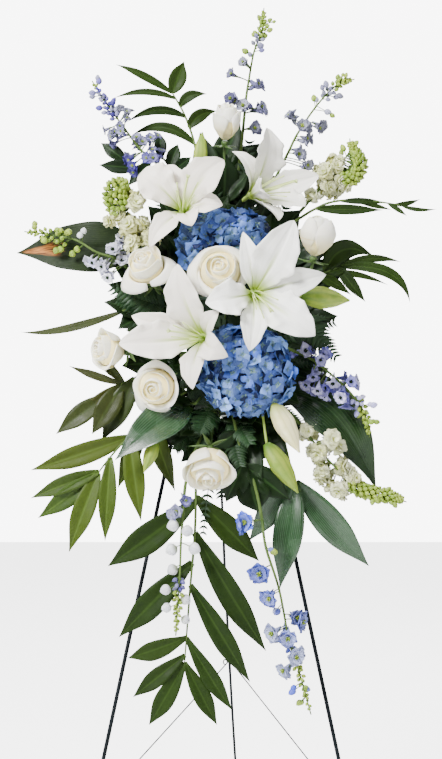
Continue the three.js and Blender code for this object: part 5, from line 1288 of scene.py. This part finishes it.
# %% Grow the fronds
def leaf(growth, base, tip, wide, luck, face, fold, rows=20, columns=7, arch=0.12, wave=0.03, hue=None,
         twist=0.25, belly=0.9, over=None):
    """A leaf from base to tip. Belly moves its widest part out, and over pulls its middle aside."""
    length = np.linalg.norm(tip - base)
    middle = ((base + tip) / 2 if over is None else over) + face * arch * length
    spine = bow(base, middle, tip, rows)
    t = np.linspace(0, 1, rows)
    ways = ways_along(spine)
    side = np.cross(face, ways)
    side /= np.linalg.norm(side, axis=1, keepdims=True)
    normal = np.cross(ways, side)
    lean = (luck.uniform(-twist, twist) * t)[:, None]
    side, normal = (side * np.cos(lean) + normal * np.sin(lean),
                    normal * np.cos(lean) - side * np.sin(lean))
    pointed = 1 - 0.45 * np.clip((t - 0.62) / 0.38, 0, 1) ** 1.5
    shape = np.sin(math.pi * (0.07 + 0.93 * t ** belly)) ** 0.9 * pointed
    shape[-1] = 0.012
    half = (wide / 2 * shape)[:, None, None]
    u = np.linspace(-1, 1, columns)[None, :, None]
    tt = t[:, None, None]
    beats, phase = luck.uniform(1.5, 3.0), luck.uniform(0, 6)
    ripple = wave * np.sin(2 * math.pi * beats * tt + phase + 1.3 * np.sign(u)) * np.abs(u) ** 1.5
    rise = half * (fold * np.abs(u) + 0.08 * u ** 2 + ripple) - 0.06 * half * np.exp(-(u / 0.1) ** 2)
    grid = spine[:, None] + side[:, None] * half * u + normal[:, None] * rise
    growth.sheet(grid, 0.7, 0, luck.uniform(0.15, 0.9), luck.uniform(0, 0.6) if hue is None else hue)

# Each plant's finish, its slot, how deep its leaves fold, and how far out they are widest.
LOOKS = {
    "palm_frond_top": (LEAF, "leaf", 0.26, 0.9), "palm_frond_upper_left": (DARK_LEAF, "dark_leaf", 0.2, 1.0),
    "palm_frond_lower_left": (PALM_LEAF, "leaf", 0.26, 1.0), "palm_frond_bottom": (LEAF, "leaf", 0.2, 1.25),
    "palm_fan_right": (LEAF, "leaf", 0.22, 0.85), "ruscus_upper_right": (LEAF, "leaf", 0.12, 0.9),
    "leaves_lower_left": (OLIVE_LEAF, "light_leaf", 0.14, 1.0),
    "leaves_behind_top": (DARK_LEAF, "dark_leaf", 0.16, 0.9),
    "dark_leaves_lower": (DARK_LEAF, "dark_leaf", 0.14, 1.0),
    "glossy_leaves_lower_right": (GLOSSY_LEAF_PAINTED_HIGHLIGHTS, "leaf", 0.14, 1.0),
}
for name, plant in FRONDS.items():
    luck = random.Random(name)
    finish, label, fold, belly = LOOKS[name]
    marks = np.array(seen_all(plant["rib"]))
    _, fine = grow_stem(marks[0], unit(marks[1] - marks[0]), 2.6)
    line = sampled(marks)
    growth = Growth()
    growth.round(fine, 2.4, 9, 1)
    path = smooth_path(marks, 6)
    growth.round(path, np.linspace(2.4, 1.1, len(path)), 9, 1)
    for k, (column, row, tip_column, tip_row, wide, lean, *pull) in enumerate(plant["leaflets"]):
        root = line[min(nearest(line, seen((column, row, plant["rib"][0][2]))), len(line) - 2)]
        tip = seen((tip_column, tip_row, -root[1] + lean))
        face = unit(FRONT + UP * (0.15 if k % 2 else -0.15))
        over = seen((*pull, -root[1] + lean / 2)) if pull else None
        leaf(growth, root, tip, wide * 1.04, luck, face, fold, belly=belly, over=over)
    growth.piece(name + "_leaves", "stand", [finish, SPIRE_GREEN], [name], label)
print("fronds:", len(FRONDS))

# %% [markdown]
# ## Broad leaves and ferns
# The large leaf at the left has gone brown at its tip, and the one low in the middle shines, with painted
# highlights in light streaks along its veins. Fern is a rib with pairs of side ribs, and each side rib has
# rows of small leaflets. So close together they read as one toothed blade, and are made as one. Ferns and
# dark leaves also fill the gaps, so that no foam shows between the flowers. Most of these fillers are set
# by chance, but all are rooted in the foam.

# %% The broad leaves' places
# Each leaf's base and tip, its width, the way it faces, how far it arches, and where its middle is pulled.
BROAD_LEAVES = {
    "broad_leaf_left": ((134, 248, 118), (17, 253, 112), 84, heading(-0.1, 0.3, 1), 0.1, None),
    "broad_leaf_right": ((286, 394, 140), (376, 489, 152), 94, heading(0.3, 0.5, 1), 0.14, (336, 404, 146)),
    "narrow_leaf_left": ((122, 311, 132), (21, 332, 128), 14, heading(-0.1, 0.4, 1), 0.08, (60, 340, 130)),
    "glossy_leaf_centre": ((189, 404, 164), (115, 460, 212), 62, heading(0.2, 0.6, 1), 0.2, None),
}

def make_browned():
    """Near-black green, with a burnt streak down the middle near the tip."""
    material, tree, shader = bare_material("browned leaf")
    along, across = fact_of(tree, "along"), fact_of(tree, "across")
    line = use(tree, VEINS, Lines=14.0, Waver=0.6)["Line"]
    patch = calc(tree, "MULTIPLY", use(tree, MOTTLE, Scale=38.0)["Patch"], 0.5)
    green = mix_colours(tree, patch, (0.006, 0.013, 0.003), (0.012, 0.022, 0.004))
    green = mix_colours(tree, calc(tree, "MULTIPLY", line, 0.3), green, (0.022, 0.036, 0.008))
    stretched = tree.nodes.new("ShaderNodeCombineXYZ")
    for socket, fact, times in zip(stretched.inputs, (along, across), (5.0, 9.0)):
        feed(tree, socket, calc(tree, "MULTIPLY", fact, times))
    streak = noise_at(tree, stretched.outputs[0], 4.0)
    hold(streak, Scale=1.4)
    frayed = streak.outputs["Fac"]
    scorch = ramp_between(tree, frayed, 0.4, 0.62)
    burnt = mix_colours(tree, scorch, (0.09, 0.028, 0.006), (0.5, 0.19, 0.04))
    starts = ramp_between(tree, calc(tree, "ADD", along, calc(tree, "MULTIPLY", frayed, 0.2)), 0.68, 0.82)
    going = less(tree, ramp_between(tree, along, 0.9, 0.97))
    aside = calc(tree, "ADD", calc(tree, "ABSOLUTE", across), calc(tree, "MULTIPLY", frayed, 0.5))
    within = less(tree, ramp_between(tree, aside, 0.52, 0.72))
    share = calc(tree, "MULTIPLY", calc(tree, "MULTIPLY", starts, going), within)
    feed(tree, shader.inputs["Base Color"], mix_colours(tree, share, green, burnt))
    hold(shader, Roughness=0.5, Specular_IOR_Level=0.15)
    add_relief(tree, shader, line, 0.35, 0.0006)
    return material

# Each leaf's finish, and how far out it is widest.
BROAD_LOOKS = {
    "broad_leaf_left": (make_browned(), 0.8), "broad_leaf_right": (RIDGED_LEAF, 1.0),
    "narrow_leaf_left": (OLIVE_LEAF, 0.8), "glossy_leaf_centre": (GLOSSY_LEAF_PAINTED_HIGHLIGHTS, 0.8),
}
for name, (base, tip, wide, face, arch, over) in BROAD_LEAVES.items():
    luck = random.Random(name)
    finish, belly = BROAD_LOOKS[name]
    root, end = seen(base), seen(tip)
    coarse, fine = grow_stem(root, unit(end - root), 2.4)
    growth = Growth()
    growth.round(fine, 2.2, 9, 1)
    start = coarse[-2] + (root - coarse[-2]) * 0.9
    leaf(growth, start, end, wide * 1.03, luck, face, 0.1, 34, 19, arch, wave=0.06, hue=0.3, twist=0.1,
         belly=belly, over=seen(over) if over else None)
    growth.piece(name + "_blade", "stand", [finish, SPIRE_GREEN], [name], "dark_leaf")
print("broad leaves:", len(BROAD_LEAVES))

# %% Grow the ferns
# The marks along each rib, and its longest side leaf.
FERNS = {
    "fern_right": (((300, 318, 150), (312, 330, 160), (324, 344, 162), (336, 357, 160)), 34),
    "fern_left": (((166, 306, 150), (150, 302, 160), (132, 296, 162), (112, 288, 160)), 36),
}

# The points along each side leaf's edge.
TEETH = 13

def fern(growth, path, longest, luck, hue=0.3, pairs=13, tone=0.5):
    """A rib with pairs of toothed side leaves, longest near its foot."""
    n = len(path)
    growth.round(path, np.linspace(1.4, 0.5, n), 6, 0, tone, hue)
    ways = ways_along(path)
    face = unit(FRONT + 0.25 * UP)
    v = np.linspace(0, 1, TEETH)
    u = np.array([-1, 0, 1])[None, :, None]
    # Every second point of the edge is drawn in.
    teeth = 1 - 0.3 * (np.arange(TEETH) % 2) * (1 - 0.3 * v)
    blade = np.sin(math.pi * (0.2 + 0.78 * v)) ** 0.8 * (1 - 0.5 * v) * teeth
    for i in range(pairs):
        t = 0.08 + 0.9 * i / (pairs - 1)
        at = np.array([np.interp(t * (n - 1), np.arange(n), path[:, a]) for a in range(3)])
        way = ways[min(int(t * (n - 1)), n - 1)]
        side = unit(np.cross(face, way))
        up = np.cross(way, side)
        for hand in (-1, 1):
            reach = (longest * (1 - t * 0.82) + 5) * luck.uniform(0.85, 1.05)
            tip = at + side * hand * reach * 0.84 + way * reach * 0.6 + up * luck.uniform(-0.2, 0.2) * reach
            over = at + side * hand * reach * 0.5 + way * reach * 0.2 + up * 0.1 * reach
            arm = bow(at, over, tip, TEETH)
            wing = np.cross(ways_along(arm), up)
            wing /= np.linalg.norm(wing, axis=1, keepdims=True)
            half = ((reach * 0.15 + 1.4) * blade)[:, None, None]
            grid = arm[:, None] + wing[:, None] * half * u + up * 0.2 * half * np.abs(u)
            growth.sheet(grid, 0.5, 0, tone + luck.uniform(-0.15, 0.15), hue)

for name, (rib, longest) in FERNS.items():
    luck = random.Random(name)
    marks = np.array(seen_all(rib))
    _, fine = grow_stem(marks[0], unit(marks[1] - marks[0]), 2.0)
    growth = Growth()
    growth.round(fine, 1.8, 8)
    fern(growth, smooth_path(marks, 8), longest * 0.98, luck)
    growth.piece(name + "_leaves", "stand", [FERN_GREEN], [name], "fern")
print("ferns:", len(FERNS))

# %% Fill the gaps with fern and dark leaves
# The middle of the spray and half its width and height, in columns and rows.
MIDDLE, SPREAD = np.array([226.0, 322.0]), np.array([106.0, 186.0])

def foam_front(row):
    """How far forward the foam's face is at a row of the front view."""
    height = seen((MIDDLE_COLUMN, row, 140))[2]
    down = (APEX_HEIGHT - height) / FRAME_UP[2]
    down = min(max(down, FOAM_DOWN - FOAM[1] / 2), FOAM_DOWN + FOAM[1] / 2)
    return float(-on_frame(0, down, FOAM_BACK + FOAM[2])[1])

def filler_tips(count, low, high, luck):
    """Tips over the spray's own outline, nearer the foam at the rim."""
    for k, turn in enumerate(spread(count)):
        far = low + (high - low) * math.sqrt((k + 0.5) / count)
        column, row = MIDDLE + SPREAD * far * np.array([math.cos(turn), math.sin(turn)])
        yield column + luck.uniform(-6, 6), row + luck.uniform(-6, 6), foam_front(row) + 26 - 62 * far ** 2

luck = random.Random(12)
ferns = Growth()
# Column, row, forward and longest side leaf of the ferns that show, then those set by chance.
shown = [(118, 300, 150, 32), (136, 322, 158, 30), (136, 396, 168, 32), (176, 424, 190, 32),
         (200, 432, 202, 30), (203, 534, 200, 13), (240, 466, 200, 28), (334, 322, 150, 32),
         (316, 360, 158, 28), (250, 444, 198, 26)]
chance_set = [(*tip, luck.uniform(24, 32)) for tip in filler_tips(24, 0.35, 0.98, luck)]
for column, row, forward, longest in shown + chance_set:
    tip = seen((column, row, forward))
    _, direction, inside, outside = way_out(tip, (0, 0, 0))
    middle = outside + direction * np.linalg.norm(tip - outside) * 0.5 + FRONT * 10
    hue, tone = luck.uniform(0.0, 0.8), luck.uniform(0.3, 0.9)
    fern(ferns, bow(inside, middle, tip, 22)[6:], longest, luck, hue, 14, tone)
ferns.piece("fern_fillers", "stand", [FERN_GREEN], (), "fern")

# Leaf tips that close the gaps seen from the front, then those set by chance.
backing = Growth()
leaf_tips = [(112, 262, 130), (108, 284, 130), (104, 302, 132), (158, 196, 110), (322, 372, 130),
             (340, 392, 128), (350, 408, 120), (148, 206, 110), (132, 222, 120), (150, 232, 130),
             (168, 238, 130), (140, 262, 140), (138, 300, 150), (126, 330, 150), (140, 356, 160),
             (122, 366, 150), (172, 366, 170), (132, 384, 160), (146, 404, 170), (168, 402, 180),
             (180, 436, 190), (228, 306, 170), (222, 326, 180), (216, 410, 190), (196, 388, 190),
             (222, 300, 160), (262, 152, 60), (238, 170, 70), (300, 210, 110), (318, 226, 120),
             (334, 244, 130), (338, 262, 130), (346, 270, 130), (322, 300, 140), (338, 316, 150),
             (330, 340, 150), (316, 380, 160), (282, 420, 190), (300, 404, 170), (274, 400, 190),
             (252, 424, 190), (286, 466, 180), (262, 480, 190)]
leaf_tips += filler_tips(46, 0.15, 0.98, luck)
for k, (column, row, forward) in enumerate(leaf_tips):
    tip = seen((column, row, forward))
    _, direction, inside, outside = way_out(tip, (0, 0, 0))
    way = unit(tip - outside)
    length = min(luck.uniform(62, 88), np.linalg.norm(tip - outside) * 0.9)
    fork = tip - way * length
    over = outside + direction * np.linalg.norm(fork - outside) * 0.4
    backing.round([inside, outside, *bow(outside, over, fork, 6)[1:]], 1.8, 7, 1)
    face = unit(FRONT + 0.3 * UP)
    aside = np.cross(face, way)
    for turn in (0, *((-0.75, 0.75) if k % 2 else (0.7,))):
        turned = way * math.cos(turn) + aside * math.sin(turn)
        facing = unit(face + RIGHT * luck.uniform(-0.5, 0.5))
        leaf(backing, fork, fork + turned * length * (1 if turn == 0 else 0.8), luck.uniform(34, 48), luck,
             facing, 0.14, rows=11, wave=0.05)
backing.piece("leaf_fillers", "stand", [DARK_LEAF, SPIRE_GREEN], (), "dark_leaf")
print("fillers:", len(shown) + len(chance_set), "ferns and", len(leaf_tips), "leafy stems")

# %% [markdown]
# ## The set
# The spray stands on a plain pale floor against a plain pale world. A large soft light hangs high at the
# left, as a studio would have it, a weaker one fills from the right, and a third lifts the back. A broad
# one from straight above evens them out. The camera is the eye that the places were given for. It looks
# straight ahead from the height of the lilies, so that nothing leans.

# %% Floor, lights and camera
floor_mesh = bpy.data.meshes.new("floor")
floor_mesh.from_pydata([(-6, -6, 0), (6, -6, 0), (6, 6, 0), (-6, 6, 0)], [], [(0, 1, 2, 3)])
floor = bpy.data.objects.new("floor", floor_mesh)
bpy.context.scene.collection.objects.link(floor)
pale, tree, shader = bare_material("pale floor")
hold(shader, Base_Color=(0.94, 0.94, 0.94, 1), Roughness=0.8)
# The floor glows a little to the camera alone, as the white sweep of a studio does under its own lamps.
glow = tree.nodes.new("ShaderNodeEmission")
hold(glow, Strength=3.0)
both_shaders = tree.nodes.new("ShaderNodeAddShader")
tree.links.new(shader.outputs[0], both_shaders.inputs[0])
tree.links.new(glow.outputs[0], both_shaders.inputs[1])
to_camera = tree.nodes.new("ShaderNodeMixShader")
tree.links.new(tree.nodes.new("ShaderNodeLightPath").outputs["Is Camera Ray"], to_camera.inputs["Fac"])
tree.links.new(shader.outputs[0], to_camera.inputs[1])
tree.links.new(both_shaders.outputs[0], to_camera.inputs[2])
tree.links.new(to_camera.outputs[0], tree.nodes["Material Output"].inputs["Surface"])
floor_mesh.materials.append(pale)
floor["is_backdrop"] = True

def soft_light(name, place, aim, size, power):
    data = bpy.data.lights.new(name, "AREA")
    data.shape, data.size, data.energy = "DISK", size, power
    lamp = bpy.data.objects.new(name, data)
    bpy.context.scene.collection.objects.link(lamp)
    lamp.location = place
    aim_way = np.array(aim) - np.array(place)
    lamp.rotation_euler = (math.acos(-aim_way[2] / np.linalg.norm(aim_way)), 0,
                           math.atan2(aim_way[1], aim_way[0]) - math.pi / 2)
    lamp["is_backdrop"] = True

soft_light("key", (-1.7, -2.3, 2.7), (0, -0.1, 0.9), 1.2, 300)
soft_light("fill", (2.2, -2.0, 1.4), (0, -0.1, 0.9), 1.8, 26)
soft_light("back", (0.5, 2.2, 2.8), (0, 0, 0.8), 1.6, 80)

overhead = bpy.data.lights.new("overhead", "SUN")
overhead.energy, overhead.angle = 3.2, math.radians(70)
overhead_lamp = bpy.data.objects.new("overhead", overhead)
bpy.context.scene.collection.objects.link(overhead_lamp)
overhead_lamp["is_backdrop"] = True

world = bpy.context.scene.world or bpy.data.worlds.new("world")
bpy.context.scene.world = world
world.use_nodes = True
sky = world.node_tree
around_it = sky.nodes["Background"]
hold(around_it, Color=(0.95, 0.96, 0.97, 1), Strength=0.22)
behind_it = sky.nodes.new("ShaderNodeBackground")
hold(behind_it, Color=(1, 1, 1, 1), Strength=8.0)
either = sky.nodes.new("ShaderNodeMixShader")
sky.links.new(sky.nodes.new("ShaderNodeLightPath").outputs["Is Camera Ray"], either.inputs["Fac"])
sky.links.new(around_it.outputs[0], either.inputs[1])
sky.links.new(behind_it.outputs[0], either.inputs[2])
sky.links.new(either.outputs[0], sky.nodes["World Output"].inputs["Surface"])

camera_data = bpy.data.cameras.new("camera")
camera_data.sensor_fit = "VERTICAL"
# This lens sees 759 rows from top to bottom.
camera_data.sensor_height = 36.0
camera_data.lens = 77.07
camera = bpy.data.objects.new("camera", camera_data)
bpy.context.scene.collection.objects.link(camera)
camera.location = (UNDER_THE_TOP + EYE_DISTANCE * FRONT + EYE_HEIGHT * UP) * MM
camera.rotation_euler = (math.pi / 2, 0, 0)
bpy.context.scene.camera = camera
print("camera at", tuple(round(x, 3) for x in camera.location))

# %% Print both boxes and finish
visual_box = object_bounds()
boxes = {"cad": [[float(x) for x in corner] for corner in cad_box],
         "visual": [[float(x) for x in corner] for corner in visual_box]}
print("CAD box:", boxes["cad"])
print("visual box:", boxes["visual"])
